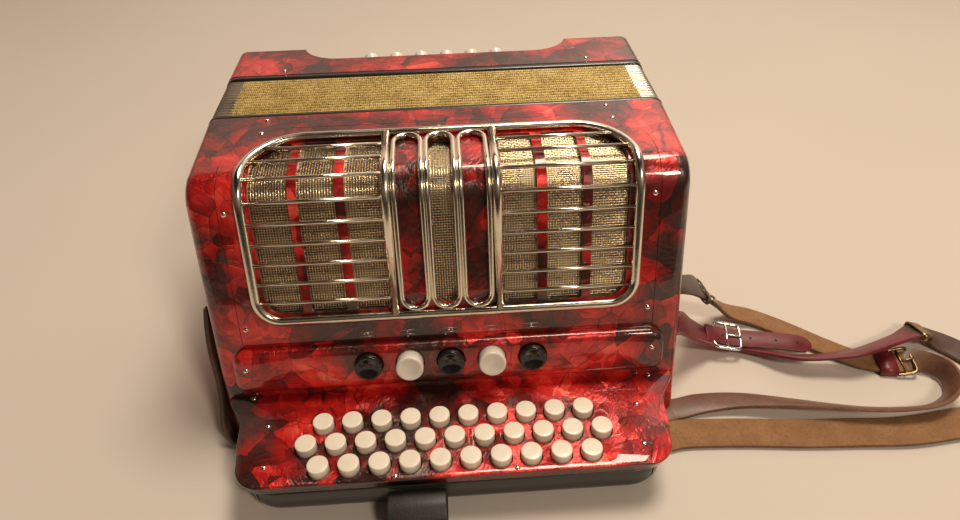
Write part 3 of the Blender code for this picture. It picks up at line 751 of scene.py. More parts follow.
def rounded_sides(outline_at, radius, steps=8):
    """Sections across X of a body whose side edges are rounded: outline_at(inset) gives each outline."""
    sections = []
    for side in (-1, 1):
        order = range(steps + 1) if side == -1 else range(steps, -1, -1)
        for k in order:
            turn = math.pi / 2 * k / steps
            x = side * (HALF_W - radius * (1 - math.cos(turn)))
            sections.append([(x, y, z) for y, z in outline_at(radius * (1 - math.sin(turn)))])
    return sections


def make_treble_casing():
    finishes = [PEARL, HOLLOW_SHADE]
    casing = loft("treble_casing_skin", rounded_sides(casing_outline, SIDE_ROUND), finishes)
    inner = [profile_point(s, -5.5) for s in levels(3, 214)]
    room = [(TOP_EDGE[0] + 2, inner[0][1])] + inner + [(inner[-1][0], 6.0), (TOP_EDGE[0] + 2, 6.0)]
    cut(casing, hollow([[(x, y, z) for y, z in room] for x in (-ROOM_HALF, ROOM_HALF)], finishes))
    seat = (-142.1, 142.1, 15.7, 187.4, -3.9, 14)
    cut(casing, band("seat", *seat, finishes, (41, 41, 0, 0), 0.5, 1))
    opening = (-130, 130, 24, 178, -9, 1)
    cut(casing, band("opening", *opening, finishes, (34, 34, 14, 14), 0.25, 1))
    cut(casing, joined("stems", [register_hole(k, 4.6, -9, 3) for k in range(5)]))
    soften(casing, 0.5)
    place(casing, TREBLE, "pearloid", "treble_casing")


def register_hole(k, radius, inside, outside):
    base = on_front((k - 2) * REGISTER_PITCH, REGISTER_S, inside)
    profile = [(0, radius), (outside - inside, radius)]
    return lathe("hole", profile, base, FACE_NORMAL, [PEARL, HOLLOW_SHADE], 40, second)


def make_grille_panel():
    finishes = [PEARL, PEARL_SHADED]
    panel = band("grille_panel_skin", -141.8, 141.8, 16, 187.1, -3.5, 0, finishes, (40, 40, 0, 0))
    holes = []
    for side in (1, -1):
        for k, (a, b) in enumerate(WINDOWS):
            left, right = (a, b) if side == 1 else (-b, -a)
            radii = (20.5, 2.5, 14, 2.5) if k == 0 else (2.5,) * 4
            if side == -1:
                radii = (radii[1], radii[0], radii[3], radii[2])
            holes.append(band("window", left, right, 35, 165, -6, 3, finishes, radii, 0.5, 1))
    holes.append(band("window", -7.2, 7.2, 35.5, 162.5, -6, 3, finishes, (7.1,) * 4, 0.5, 1))
    cut(panel, joined("windows", holes))
    soften(panel, 0.45)
    place(panel, TREBLE, "pearloid", "grille_panel")


FRAME_HALF = 127.3
FRAME_S = (30.0, 169.3)
FRAME_ROUND = (40.0, 17.0)
RING_PITCH = 21.3
RING_HALF = 8.9
ROD_COUNT = 9


def make_grille_frame():
    top, bottom = FRAME_S
    top_round, bottom_round = FRAME_ROUND
    radii = (top_round, top_round, bottom_round, bottom_round)
    outer_path = rounded_path(-FRAME_HALF, FRAME_HALF, top, bottom, radii, 20)
    outer = front_tube("grille_outer_frame", outer_path, 3.2, 0.1, 5.0, CHROME, True, 16)
    place(outer, TREBLE, "chrome", "grille_frame")
    uprights = []
    for side in (-1, 1):
        path = [(side * 35.4, s) for s in levels(31, 168.5)]
        uprights.append(front_tube("upright", path, 3.1, 0.1, 4.9, CHROME, False, 16))
    place(joined("grille_uprights", uprights), TREBLE, "chrome")
    rings = []
    for k in (-1, 0, 1):
        middle = k * RING_PITCH
        ring = rounded_path(middle - RING_HALF, middle + RING_HALF, 34.6, 164.6, (8.8,) * 4, 10)
        rings.append(front_tube("ring", ring, 1.95, 0.2, 4.4, CHROME, True, 14))
    place(joined("grille_rings", rings), TREBLE, "chrome")
    rods = []
    for k in range(1, ROD_COUNT + 1):
        s = top + (bottom - top) * k / (ROD_COUNT + 1)
        drawn_in = max(corner_inset(s - top, top_round), corner_inset(bottom - s, bottom_round))
        reach = FRAME_HALF - drawn_in
        y, z = profile_point(s, 2.6)
        for side in (-1, 1):
            ends = sorted((side * 34.5, side * reach))
            length = ends[1] - ends[0]
            rods.append(lathe("rod", [(0, 1.4), (length, 1.4)], (ends[0], y, z), (1, 0, 0), [CHROME], 16))
    place(joined("grille_rods", rods), TREBLE, "chrome")


WIRE_PITCH = 1.78
WIRE_WIDE = 0.66
WIRE_WAVE = 0.2
WIRE_RISE = 0.12
WEAVE_OUT = -4.3


def wire(points, across, normals):
    """A thin ridge along the points, with the width along across and one surface normal for each point."""
    side = Vector(across) * WIRE_WIDE / 2
    rows = []
    for point, normal in zip(points, normals):
        p, rise = Vector(point), Vector(normal) * WIRE_RISE
        rows += [p - side - rise, p + rise, p + side - rise]
    faces = []
    for i in range(len(points) - 1):
        for k in (0, 1):
            faces.append((3 * i + k, 3 * i + k + 1, 3 * i + k + 4, 3 * i + k + 3))
    return rows, faces


def make_mesh():
    """Woven wire behind each window: every wire goes over one crossing and under the next."""
    points, faces = [], []

    def add(rows, quads):
        start = len(points)
        points.extend(tuple(p) for p in rows)
        faces.extend(tuple(start + i for i in quad) for quad in quads)

    columns = [(a, b) for a, b in WINDOWS] + [(-b, -a) for a, b in WINDOWS] + [(-7.2, 7.2)]
    for a, b in columns:
        count = math.ceil((b - a + 1.2) / WIRE_PITCH)
        left = (a + b) / 2 - count * WIRE_PITCH / 2

        def crossing(i, j, over):
            wave = over * WIRE_WAVE * (-1) ** (i + j)
            return on_front(left + i * WIRE_PITCH, levels_s[j], WEAVE_OUT + wave)

        rows = math.floor(131 / WIRE_PITCH)
        levels_s = [34.5 + WIRE_PITCH * j for j in range(rows + 1)]
        normals = [slope_at(s) for s in levels_s]
        for i in range(count + 1):
            add(*wire([crossing(i, j, 1) for j in range(rows + 1)], (1, 0, 0), normals))
        for j, n in enumerate(normals):
            line = [crossing(i, j, -1) for i in range(count + 1)]
            add(*wire(line, (0, n[2], -n[1]), [n] * len(line)))
    mesh = build("grille_weave", points, faces, [WIRE])
    place(mesh, TREBLE, "mesh_metal", "grille_mesh")
    # A near-black sheet just behind the weave: painted shade for the dark inside of the casing seen through
    # the mesh.
    shade_sheet = band("grille_shade_sheet", -126, 126, 31, 169, -5.4, -5.2, [HOLLOW_SHADE], (31, 31, 12, 12))
    place(shade_sheet, TREBLE, "mesh_metal")


def make_register_bar():
    finishes = [PEARL, PEARL_SHADED]
    steps = [(0, 0.3), (0, 3.0), (0.25, 4.4), (1.0, 5.8), (2.2, 6.9), (3.8, 7.6), (5.6, 8.0)]
    sections = []
    for inset, out in steps:
        radii = (11 - inset, 11 - inset, 9 - inset, 9 - inset)
        path = rounded_path(-150 + inset, 150 - inset, 189.3 + inset, 222 - inset, radii, 10, False)
        sections.append([on_front(x, s, out) for x, s in path])
    bar = loft("register_bar_skin", sections, finishes)
    cut(bar, joined("holes", [register_hole(k, REGISTER_R + 0.6, -1, 12) for k in range(5)]))
    soften(bar, 0.35, angle=50)
    place(bar, TREBLE, "pearloid", "register_bar")


def make_registers():
    for k in range(5):
        white = k in (1, 3)
        proud = 17.0 if white else 13.2
        head, top = 16.8, proud + 12.0
        rim = arc_points(top - 1.1, REGISTER_R - 1.1, 1.1, 90, 0, 6)
        dish = []
        for j in range(8):
            share = j / 7
            sunk = 0.1 + 1.6 * math.sin(share * math.pi / 2)
            dish.append((top - sunk, (REGISTER_R - 1.9) * (1 - share) + 0.4 * share))
        stem = [(0, 3.6), (head - 0.1, 3.6), (head, REGISTER_R - 0.3), (head + 0.3, REGISTER_R)]
        base = on_front((k - 2) * REGISTER_PITCH, REGISTER_S, -12.0)
        finish = WHITE if white else JET
        profile = stem + rim + dish
        pusher = lathe(f"register_pusher_{k + 1}", profile, base, FACE_NORMAL, [finish], 56)
        name = f"register_{k + 1}"
        place(pusher, name, "ivory_plastic" if white else "black_plastic", name)


MARK_PITCH = 28.5


def make_register_marks():
    """Plain tally marks above the pushers: two lines with dots on or below them, and a post on two."""
    marks = []

    def line(path):
        marks.append(front_tube("line", path, 0.32, 0.0, 0.25, INLAY, False, 8))

    for k, dots in enumerate([(0, 0), (1,), (1, 0, 0), (2,), (0,)]):
        x = (k - 2) * MARK_PITCH - 0.5
        for s in (182.4, 185.4):
            line([(x - 5.6, s), (x + 5.6, s)])
        for j, drop in enumerate(dots):
            dx = (j - (len(dots) - 1) / 2) * 2.4
            s = 183.9 + drop * 3.4
            marks.append(lathe("dot", [(0, 0.8), (0.25, 0.7)], on_front(x + dx, s), slope_at(s), [INLAY], 16))
        if k in (1, 4):
            line([(x, 182.6), (x, 185.2)])
    place(joined("register_marks", marks), TREBLE, "chrome")


# ---------------------------------------------------------------- keyboard


PLATE_SIDE = [
    (157.5, 46.6), (157.3, 42.5), (153.6, 36.5), (149.6, 31.0),
    (147.0, 25.5), (146.0, 19.0), (145.4, 6.0), (143.8, -4.0),
]
BLOCK_SIDE = [(152.0, 46.6), (152.0, 34.0), (146.0, 22.0), (141.5, 4.0)]


def plate_half(inset):
    corner = 18.0
    turn = arc_points(143.0 - inset - corner, -28.0 + inset + corner, corner, 0, -90, 12)
    return [(x - inset, y) for x, y in PLATE_SIDE] + turn


def block_half(inset):
    corner = 24.0
    turn = arc_points(140.0 - inset - corner, -25.6 + inset + corner, corner, 0, -90, 14)
    return [(x - inset, y) for x, y in BLOCK_SIDE] + turn


def stacked(half_at, steps):
    """Level sections of a shape alike on both sides: each step gives its inset and its height."""
    sections = []
    for inset, z in steps:
        half = half_at(inset)
        sections.append([(x, y, z) for x, y in half] + [(-x, y, z) for x, y in reversed(half)])
    return sections


def button_places():
    for row, count in ((0, 10), (1, 11), (2, 10)):
        for k in range(count):
            yield row, k, (k - (count - 1) / 2) * BUTTON_PITCH, (1 - row) * ROW_PITCH


def make_fingerboard():
    finishes = [PEARL, PEARL_SHADED]
    steps = [(1.9, PLATE_LOW), (0.3, 33.6), (0.0, 34.8), (0.15, 35.5), (0.5, 36.1), (1.1, PLATE_TOP)]
    # The lower side faces of the plate take the darker pearl: painted shade.
    painted_shade_edge = lambda i, k: 1 if i < 3 else 0
    plate = loft("fingerboard_skin", stacked(plate_half, steps), finishes, side_finish=painted_shade_edge)
    profile = [(0, BUTTON_R + 0.75), (14, BUTTON_R + 0.75)]
    holes = []
    for *_, x, y in button_places():
        holes.append(lathe("hole", profile, (x, y, PLATE_LOW - 2), (0, 0, 1), finishes, 36, second))
    cut(plate, joined("holes", holes))
    soften(plate, 0.3, angle=55)
    place(plate, TREBLE, "pearloid", "fingerboard")


def make_keyboard_block():
    steps = [(3.2, BLOCK_LOW), (1.5, 6.2), (0.6, BLOCK_LOW + 3.4), (0.1, 10.4), (0, 12), (0, 24.2)]
    steps += [(0.3, 24.6), (1.6, 24.8), (1.6, PLATE_LOW - 0.3)]
    finishes = [BLACK_PAINT, HOLLOW_SHADE]
    block = loft("keyboard_block_skin", stacked(block_half, steps), finishes)
    cut(block, box_cutter((-131, -21, 9), (131, 50, 40), finishes))
    soften(block, 0.4, angle=50)
    place(block, TREBLE, "black_wood", "keyboard_block")


def make_treble_buttons():
    low, cap = 14.5, 30.4
    for row, k, x, y in button_places():
        top = BUTTON_TOP - low
        edge = arc_points(top - 0.8, BUTTON_R - 0.8, 0.8, 90, 0, 5)
        stem = cap - low
        profile = [(0, 2.4), (stem, 2.4), (stem, BUTTON_R - 0.2), (stem + 0.3, BUTTON_R), *edge]
        profile += [(top + 0.04, BUTTON_R * 0.5), (top + 0.05, 0.3)]
        name = f"treble_button_{row + 1}_{k + 1:02d}"
        button = lathe(name + "_cap", profile, (x, y, low), (0, 0, 1), [IVORY], 40)
        place(button, name, "ivory_plastic", name)


# ---------------------------------------------------------------- bellows


def ring_points(x, low, high, radius, inner=8.0, steps=5):
    """A rounded rectangle in (x, z), with a point inner mm along each side from the corners."""
    points = []
    for cx, cz, start in (
        (x - radius, high - radius, 0),
        (-x + radius, high - radius, 90),
        (-x + radius, low + radius, 180),
        (x - radius, low + radius, 270),
    ):
        corner = arc_points(cx, cz, radius, start, start + 90, steps)
        (ax, az), (bx, bz) = corner[0], corner[-1]
        turn = math.radians(start)
        points.append((ax + math.sin(turn) * inner, az - math.cos(turn) * inner))
        points += corner
        points.append((bx - math.cos(turn) * inner, bz - math.sin(turn) * inner))
    return points


# One fold from valley to valley: the share of its pitch, and how far its skin is drawn in there.
FOLD_SHAPE = (
    (0.0, 9.6), (0.16, 4.2), (0.27, 1.7), (0.38, 0.8), (0.5, 0.55), (0.62, 0.8), (0.73, 1.7), (0.84, 4.2),
)
CORNER_STEPS = 5
WALL = 2.0


def make_bellows():
    pitch = (BELLOWS_Y[1] - BELLOWS_Y[0]) / FOLDS
    rows = [(BELLOWS_Y[0] + pitch * (f + share), draw) for f in range(FOLDS) for share, draw in FOLD_SHAPE]
    rows.append((BELLOWS_Y[1], FOLD_SHAPE[0][1]))
    outer, inner = [], []
    for y, draw in rows:
        for into, extra in ((outer, 0.0), (inner, WALL)):
            d = draw + extra
            ring = ring_points(HALF_W - 0.6 - d, 0.4 + d, 189.6 - d, 6.0)
            into.append([(x, y, z) for x, z in ring])
    per_corner = CORNER_STEPS + 3

    def finish_of(i, k):
        if i >= len(rows) - 1:
            return 2
        on_corner = k % per_corner != per_corner - 1
        # Faces next to each deep valley take the near-black hollow finish: painted shade in the creases.
        deep = FOLD_SHAPE[i % len(FOLD_SHAPE)][1] > 8 or FOLD_SHAPE[(i + 1) % len(FOLD_SHAPE)][1] > 8
        return 1 if on_corner and not deep else (2 if deep else 0)

    finishes = [GOLD_CLOTH, CORNER, HOLLOW_SHADE]
    skin = loft("bellows_folds", outer + inner[::-1], finishes, closed=True, side_finish=finish_of)
    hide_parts("bellows")
    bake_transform(skin)


def make_bellows_frame(name, cad_node, y0, y1, body):
    steps = [(y0, 0.6, 0), (y0 + 0.5, 0.0, 0), (y1 - 0.5, 0.0, 0), (y1, 0.6, 0), (y1, 19, 1), (y0, 19, 1)]
    sections = []
    for y, inset, inner in steps:
        radius = 3.0 if inner else 8.5 - inset
        ring = ring_points(HALF_W - inset, inset, DEPTH - inset, radius, 4.0)
        sections.append([(x, y, z) for x, z in ring])
    place(loft(name, sections, [LACQUER], closed=True), body, "frame_black", cad_node)


# ---------------------------------------------------------------- bass side


def bass_outline(inset):
    r = 10.0
    y1, top = BASS_Y[1] - inset, DEPTH - inset
    points = [(BASS_Y[0], inset), (y1 - 4, inset), (y1, 4 + inset)]
    turns = [math.pi / 2 * k / 10 for k in range(11)]
    reach = max(r - inset, 0.5)
    points += [(y1 - reach + reach * math.cos(a), top - reach + reach * math.sin(a)) for a in turns]
    return points + [(BASS_Y[0], top)]


def bass_axis():
    return (0, math.cos(BASS_TILT), math.sin(BASS_TILT))


def bass_place(k, out):
    axis = bass_axis()
    down = 9.0
    y = SCOOP_Y + down * math.sin(BASS_TILT)
    z = DEPTH - down * math.cos(BASS_TILT)
    return ((k - 2.5) * BASS_PITCH - 1.8, y + axis[1] * out, z + axis[2] * out)


# The scoop in the top edge: half its straight length, and the length of the curve beyond that.
SCOOP_HALF = (78, 30)
AIR_X = -130
AIR_Z = 166


def make_bass_casing():
    finishes = [PEARL, HOLLOW_SHADE]
    casing = loft("bass_casing_skin", rounded_sides(bass_outline, 8.0), finishes)
    cut(casing, box_cutter((-ROOM_HALF, 230, 6), (ROOM_HALF, 256, 184), finishes))
    cut(casing, box_cutter((-ROOM_HALF, 250, 6), (ROOM_HALF, 284.5, 136), finishes))
    flat, curved = SCOOP_HALF
    stations = [flat + curved * math.sin(math.pi / 2 * k / 14) for k in range(15)] + [flat + curved + 4]
    stations = [-x for x in reversed(stations)] + stations
    sections = []
    for x in stations:
        t = min(1.0, (abs(x) - flat) / curved)
        start = SCOOP_Y + 26 * (1 - math.sqrt(max(0.0, 1 - t * t))) + (2 if abs(x) > 110 else 0)
        outline = [(start, 200), (start, DEPTH), (start + 25, 150), (330, 150), (330, 200)]
        sections.append([(x, y, z) for y, z in outline])
    cut(casing, loft("scoop", sections, finishes))
    hole = [(0, BASS_R + 0.7), (60, BASS_R + 0.7)]
    holes = [lathe("hole", hole, bass_place(k, -20), bass_axis(), finishes, 32, second) for k in range(6)]
    air_hole = [(0, 8.2), (40, 8.2)]
    holes.append(lathe("hole", air_hole, (AIR_X, 262, AIR_Z), (0, 1, 0), finishes, 32, second))
    cut(casing, joined("holes", holes))
    soften(casing, 0.5)
    place(casing, BASS, "pearloid", "bass_casing")


def make_bass_buttons():
    for k in range(6):
        edge = arc_points(15.0, BASS_R - 1.0, 1.0, 90, 0, 5)
        profile = [(0, BASS_R - 0.2), (0.3, BASS_R), *edge, (16.05, 1.0)]
        name = f"bass_button_{k + 1}"
        button = lathe(name + "_cap", profile, bass_place(k, -9.2), bass_axis(), [WHITE], 40)
        place(button, name, "ivory_plastic", name)
    profile = [(0, 7.2), (0.3, 7.4), *arc_points(24.5, 6.4, 1.0, 90, 0, 5), (25.55, 1.0)]
    button = lathe("air_button_cap", profile, (AIR_X, 270, AIR_Z), (0, 1, 0), [WHITE], 40)
    place(button, "air_button", "ivory_plastic", "air_button")


# ---------------------------------------------------------------- small metal


def screw(x, y, z, axis, radius=1.9):
    """A plain domed head, its rim at the point given."""
    shares = [(-0.6, 1.0), (0.05, 1.0), (0.35, 0.93), (0.7, 0.72), (0.92, 0.4)]
    profile = [(along, radius * share) for along, share in shares] + [(0.98, 0.1)]
    return lathe("screw", profile, (x, y, z), axis, [STEEL], 24)


def make_screws():
    heads = []
    for x, s in ((120.5, 21), (138.0, 92.4), (137.9, 175.5)):
        for side in (-1, 1):
            heads.append(screw(*on_front(side * x, s), slope_at(s)))
    heads.append(screw(*on_front(0.0, 22), slope_at(22), 1.6))
    for side in (-1, 1):
        heads.append(screw(*on_front(side * 140.4, 203, 7.9), FACE_NORMAL))
        for x, y in ((140.8, 44.5), (126.5, 19.5), (124.0, -12.8), (39.0, -24.8)):
            heads.append(screw(side * x, y, PLATE_TOP, (0, 0, 1)))
    place(joined("treble_screws", heads), TREBLE, "chrome")


def make_bellows_pins():
    """Round-headed pins that hold each casing to its bellows frame, on the top face and on the left and right
    faces.
    """
    for name, y, body, top in (("treble_pins", 164.0, TREBLE, 189.65), ("bass_pins", 243.5, BASS, 190.0)):
        heads = []
        for side in (-1, 1):
            heads.append(screw(side * 119, y, top, (0, 0, 1), 1.7))
            heads.append(screw(side * HALF_W, y, 140, (side, 0, 0), 1.7))
            heads.append(screw(side * HALF_W, y, 45, (side, 0, 0), 1.7))
        place(joined(name, heads), body, "chrome")


# ---------------------------------------------------------------- leather


def strap_section(middle, wide, up, thick):
    """Fourteen points round a flat strap with rounded edges."""
    half, t = wide.length / 2, thick / 2
    w = wide.normalized()
    top = [(1.0, 0.45), (0.975, 0.85), (0.93, 1.0), (0.0, 1.0), (-0.93, 1.0), (-0.975, 0.85), (-1.0, 0.45)]
    shape = top + [(-a, -b) for a, b in top]
    return [tuple(middle + w * (half * a) + up * (t * b)) for a, b in shape]


EDGE_FACES = {0, 5, 6, 7, 12, 13}
UNDER_FACES = {8, 9, 10, 11}


def strap(name, path, across, thick, finishes, face_of):
    """A flat strap through path. face_of(share, part) picks a finish for part top, edge or under."""
    sections = []
    count = len(path)
    for i, p in enumerate(path):
        ahead = (Vector(path[min(i + 1, count - 1)]) - Vector(path[max(i - 1, 0)])).normalized()
        wide = Vector(across[i])
        wide = wide - ahead * wide.dot(ahead)
        up = ahead.cross(wide.normalized())
        sections.append(strap_section(Vector(p), wide, up, thick))

    def side(i, k):
        part = "edge" if k in EDGE_FACES else ("under" if k in UNDER_FACES else "top")
        return face_of(i / (count - 1), part)

    return loft(name, sections, finishes, side_finish=side)


def rolled(table):
    """Each row's width vector: level and square to the path at roll 0, tipped by the roll about the path."""
    wide = []
    for i, row in enumerate(table):
        if isinstance(row[3], tuple):
            wide.append(Vector(row[3]))
            continue
        before, after = table[max(i - 1, 0)], table[min(i + 1, len(table) - 1)]
        ahead = (Vector(after[:3]) - Vector(before[:3])).normalized()
        left = Vector((-ahead.y, ahead.x, 0)).normalized()
        up = ahead.cross(left)
        turn = math.radians(row[4])
        wide.append((left * math.cos(turn) + up * math.sin(turn)) * row[3])
    return wide


UPPER_STRAP = [
    (166.5, 86, 84, (0, 4, 15)), (172.5, 92, 79, (-2, 5, 15)), (191, 109, 60, 17, 40), (212, 123, 32, 18, 5),
    (232, 128, 12, 18, 0), (254, 127, 4, 18, 0), (276, 112, 3, 18, 0), (300, 91, 3, 18, 0),
    (324, 74, 3, 18, 0), (346, 68, 4, 18, 6), (364, 66, 8, 17, 40), (377, 54, 10, 17, 66),
    (375, 38, 10, 17, 68), (364, 27, 10, 17, 62), (348, 21, 10, 17, 56), (324, 20, 10, 17, 50),
    (303, 22, 9.5, 17, 47), (282, 26, 9, 17, 44), (255, 32, 8, 17, 36), (215, 40, 5.5, 17, 16),
    (185, 41, 3.4, 18, 4), (165, 38, 2.3, 18, 0), (140, 36, 2.3, 18, 0), (0, 36, 2.3, 18, 0),
    (-120, 36, 2.3, 18, 0), (-146, 36.5, 2.3, 18, 0), (-158, 38.5, 4, (0, -17, 0)),
    (-165, 42.5, 13, (0, -15, 5)), (-165.2, 51, 25, (0, -13, 9)), (-165.8, 60, 42, (0, -12, 9)),
    (-168.3, 70, 62, (0, -11, 9)), (-167.6, 77, 80, (0, -11, 9)), (-166, 82, 93, (0, -10, 9)),
]
LOWER_STRAP = [
    (166.5, 73, 58, (0, 5, 19)), (173.5, 80, 50, (-2, 8, 18)), (192, 93, 27, 20, 26), (210, 98, 12, 19, 6),
    (230, 97, 6, 17, -6), (248, 88, 6, 16, -24), (262, 78, 9, 16, -36), (276, 73, 11, 16, -38),
    (297, 71, 13, 16, -38), (312, 70, 16, 16, -36), (330, 74, 17, 16, -36), (357, 84, 15, 16, -30),
    (379, 94, 10, 18, -12), (395, 88, 4, 20, 0), (408, 75, 3, 22, 0), (418, 55, 3, 24, 0),
    (416, 34, 3, 24, 0), (402, 20, 3, 24, 0), (380, 12, 3, 24, 0), (350, 8, 3, 24, 0),
    (321, 6, 3, 24, 0), (285, 8, 2.6, 24, 0), (248, 10, 2.4, 24, 0), (206, 14, 2.3, 24, 0),
    (165, 16, 2.3, 24, 0), (140, 13.5, 2.3, 24, 0), (60, 13.5, 2.3, 24, 0), (-60, 13.5, 2.3, 24, 0),
    (-126, 13.5, 2.3, 24, 0),
]
STRAP_STEPS = 8


def squarish(count, power):
    """Directions (c, s) round a circle, and the reach r that makes them a rounded rectangle."""
    for k in range(count):
        turn = 2 * math.pi * k / count
        c, s = math.cos(turn), math.sin(turn)
        yield c, s, (abs(c) ** power + abs(s) ** power) ** (-1 / power)


class Route:
    """A strap's middle line and width vectors, smoothed from its table."""

    def __init__(self, table):
        self.rows = len(table) - 1
        self.path = smooth([row[:3] for row in table], STRAP_STEPS)
        self.across = smooth(rolled(table), STRAP_STEPS)

    def length(self):
        return sum((b - a).length for a, b in zip(self.path, self.path[1:]))

    def frame_at(self, row):
        """Place, heading, width direction, face normal and width at a row, whole or part, of the table."""
        i = min(int(row * STRAP_STEPS), len(self.path) - 2)
        t = row * STRAP_STEPS - i
        p = self.path[i].lerp(self.path[i + 1], t)
        ahead = (self.path[i + 1] - self.path[i]).normalized()
        wide = self.across[i].lerp(self.across[i + 1], t)
        wide = (wide - ahead * wide.dot(ahead))
        return p, ahead, wide.normalized(), ahead.cross(wide).normalized(), wide.length

    def loop(self, name, row, wide, thick, band_wide, finish, gap=0.25):
        """A leather keeper that wraps round the strap at a row."""
        p, ahead, w, up, full = self.frame_at(row)
        a, b = full / 2 + gap + wide, thick / 2 + gap + wide
        half = ahead * band_wide / 2
        sections = []
        for c, s, r in squarish(28, 5.0):
            centre = p + w * (a * c * r) + up * (b * s * r)
            thin = (w * c * b + up * s * a).normalized() * wide / 2
            corners = (half + thin, thin - half, -half - thin, half - thin)
            sections.append([tuple(centre + corner) for corner in corners])
        return loft(name, sections, [finish], closed=True)


def wire_loop(name, centre, side_a, side_b, half_a, half_b, thick, finish):
    """A rounded rectangle of round wire about centre, half_a along side_a and half_b along side_b."""
    path = [centre + side_a * (half_a * c * r) + side_b * (half_b * s * r) for c, s, r in squarish(56, 6.0)]
    count = len(path)
    normal = side_a.cross(side_b).normalized()
    sections = []
    for i, p in enumerate(path):
        ahead = (path[(i + 1) % count] - path[i - 1]).normalized()
        out = ahead.cross(normal)
        ring = []
        for k in range(10):
            turn = 2 * math.pi * k / 10
            ring.append(tuple(p + out * math.cos(turn) * thick + normal * math.sin(turn) * thick))
        sections.append(ring)
    return loft(name, sections, [finish], closed=True)


def bar_between(name, a, b, radius, finish):
    long = (b - a).length
    profile = [(0, radius * 0.7), (0.3, radius), (long - 0.3, radius), (long, radius * 0.7)]
    return lathe(name, profile, a, b - a, [finish], 14)


def make_buckle(route, name, row, half_long, half_wide, wire_thick, finish, lift=1.6):
    """A frame buckle with its bar and prong, lying on the strap at a row."""
    p, ahead, w, up, _ = route.frame_at(row)
    centre = p + up * lift
    pieces = [wire_loop(name, centre, ahead, w, half_long, half_wide, wire_thick, finish)]
    reach = w * half_wide
    pieces.append(bar_between("bar", centre - reach, centre + reach, wire_thick * 0.8, finish))
    tip = centre + ahead * half_long + up * (wire_thick + 0.6)
    pieces.append(bar_between("prong", centre + up * wire_thick, tip, wire_thick * 0.6, finish))
    return joined(name, pieces)


# Each hole is a thin near-black disc lying on the strap: painted shade standing for a punched hole.
def make_strap_hole_shades(route, rows, lift, finish, name):
    holes = []
    for row in rows:
        p, _, _, up, _ = route.frame_at(row)
        holes.append(lathe("hole", [(0, 0.95), (0.12, 0.95)], tuple(p + up * lift), up, [finish], 16))
    return joined(name, holes)


def make_stitches(route, name, start, end, edge, lift, step=3.4):
    """Short thread stitches along both edges of a strap."""
    row_length = 22.0
    profile = [(0, 0.12), (0.4, 0.26), (1.5, 0.26), (1.9, 0.12)]
    count = max(4, int((end - start) * row_length / step))
    stitches = []
    for k in range(count):
        row = start + (end - start) * (k + 0.3) / count
        p, ahead, w, up, full = route.frame_at(row)
        for side in (-1, 1):
            middle = p + w * side * (full / 2 - edge) + up * lift
            stitches.append(lathe("stitch", profile, tuple(middle - ahead * 0.95), ahead, [THREAD], 6))
    return joined(name, stitches)


def make_upper_strap():
    route = Route(UPPER_STRAP)
    rows = route.rows

    def face_of(share, part):
        row = share * rows
        if row < 3.2 or row > 24:
            return 2
        if part == "edge":
            return 3
        if row < 9.4:
            return 0 if part == "top" else 1
        return 1 if part == "top" else 0

    finishes = [SUEDE, HIDE_BROWN, HIDE_DARK, RAW_EDGE]
    body = strap("shoulder_strap_upper_leather", route.path, route.across, 3.0, finishes, face_of)
    place(body, TREBLE, "leather_tan", "shoulder_strap_upper")
    extras = [
        make_buckle(route, "upper_buckle_near", 2.9, 8.0, 11.0, 1.2, DARK_BRASS),
        make_buckle(route, "upper_buckle_far", 9.3, 8.5, 11.0, 1.3, DARK_BRASS),
        route.loop("upper_keeper_near", 2.45, 1.2, 3.0, 7.0, HIDE_DARK),
        route.loop("upper_keeper_far", 8.75, 1.5, 4.5, 13.0, BURGUNDY),
    ]
    for piece in extras:
        place(piece, TREBLE, "leather_tan")


TONGUE = [
    (204, 99.5, 18.5, 15, 14), (215, 99, 14.5, 15, 12), (226, 97.5, 12.5, 15, 12), (250, 93, 12, 15, 14),
    (272, 89, 11.5, 15, 14), (287, 86.5, 9, 15, 12),
]


def make_tongue():
    """The loose end of the lower strap: out through the buckle, to a rounded tip."""
    route = Route(TONGUE)
    path, across = [], []
    length = route.length()
    gone = 0.0
    for i, (p, w) in enumerate(zip(route.path, route.across)):
        gone += (p - route.path[i - 1]).length if i else 0.0
        left = length - gone
        narrow = 1.0 if left > 9 else math.sqrt(max(0.03, 1 - ((9 - left) / 9) ** 2))
        path.append(p)
        across.append(w * narrow)
    edge_raw = lambda share, part: 1 if part == "edge" else 0
    body = strap("lower_tongue", path, across, 2.4, [BURGUNDY, RAW_EDGE], edge_raw)
    holes = make_strap_hole_shades(route, (1.35, 2.6, 3.4, 4.2), 1.15, HOLLOW_SHADE, "tongue_hole_shades")
    return route, [body, holes]


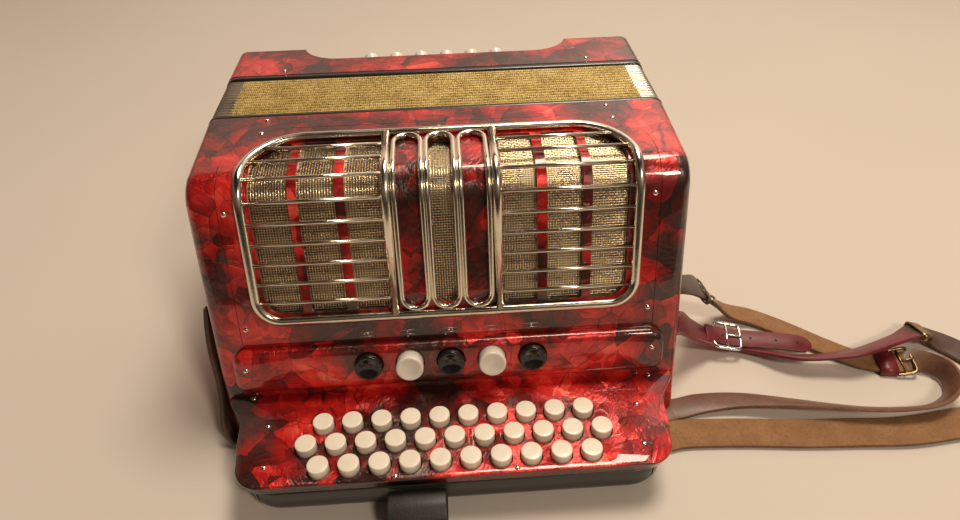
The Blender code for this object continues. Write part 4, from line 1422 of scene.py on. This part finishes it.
def make_lower_strap():
    route = Route(LOWER_STRAP)
    rows = route.rows

    def face_of(share, part):
        row = share * rows
        if part == "edge":
            return 3 if row > 11.5 else 0
        if row < 11.5:
            return 0
        if row < 15.5:
            return 1
        return 2 if part == "top" else 1

    finishes = [BURGUNDY, HIDE_DARK, SUEDE, RAW_EDGE]
    body = strap("shoulder_strap_lower_leather", route.path, route.across, 3.0, finishes, face_of)
    place(body, TREBLE, "leather_burgundy", "shoulder_strap_lower")
    tongue_route, tongue = make_tongue()
    extras = tongue + [
        make_buckle(tongue_route, "lower_buckle", 1.65, 11.0, 11.5, 1.5, STEEL, lift=1.2),
        route.loop("lower_slider", 12.0, 1.2, 3.4, 9.0, DARK_BRASS),
        make_stitches(route, "lower_stitches", 0.3, 3.0, 1.8, 1.5),
    ]
    for piece in extras:
        place(piece, TREBLE, "leather_burgundy")


def make_hand_strap():
    half = [(-150, 292.9, 96), (-132, 293.1, 96), (-112, 298, 96), (-70, 309.5, 96)]
    path = smooth(half + [(0, 315, 96)] + [(-x, y, z) for x, y, z in reversed(half)], 6)
    across = [Vector((0, 0, 62 if abs(p.x) < 118 else 62 - (abs(p.x) - 118) * 0.5)) for p in path]
    body = strap("bass_hand_strap_leather", path, across, 4.0, [HIDE_BLACK, RAW_EDGE], lambda s, part: 0)
    place(body, BASS, "leather_black", "bass_hand_strap")
    screws = []
    for side in (-1, 1):
        for dz in (-14, 14):
            screws.append(screw(side * 141, 295.0, 96 + dz, (0, 1, 0), 3.0))
    place(joined("bass_hand_strap_screws", screws), BASS, "chrome")


def make_thumb_strap():
    loop = [(-27.9, 21.5), (-31, 22.6), (-40, 22), (-48, 15.5), (-47, 6), (-38, 2.2), (-26, 2.0), (-16, 2.0)]
    path = smooth([(-26, y, z) for y, z in loop], 6)
    across = [Vector((38, 0, 0))] * len(path)
    body = strap("thumb_strap_leather", path, across, 2.4, [HIDE_BLACK], lambda s, part: 0)
    place(body, TREBLE, "leather_black", "thumb_strap")


# ---------------------------------------------------------------- assembly


place_camera()
make_floor()
light_scene()
make_upper_strap()
make_lower_strap()
make_hand_strap()
make_thumb_strap()
make_treble_casing()
make_grille_panel()
make_grille_frame()
make_mesh()
make_register_bar()
make_registers()
make_register_marks()
make_fingerboard()
make_keyboard_block()
make_treble_buttons()
make_bellows()
make_bellows_frame("bellows_frame_treble_ring", "bellows_frame_treble", 169.3, 173.3, TREBLE)
make_bellows_frame("bellows_frame_bass_ring", "bellows_frame_bass", 230.3, 236.0, BASS)
make_bass_casing()
make_bass_buttons()
make_screws()
make_bellows_pins()
for reeds in ("treble_reed_block", "bass_reed_block"):
    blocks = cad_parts[reeds].data.materials
    blocks.clear()
    blocks.append(SPRUCE)
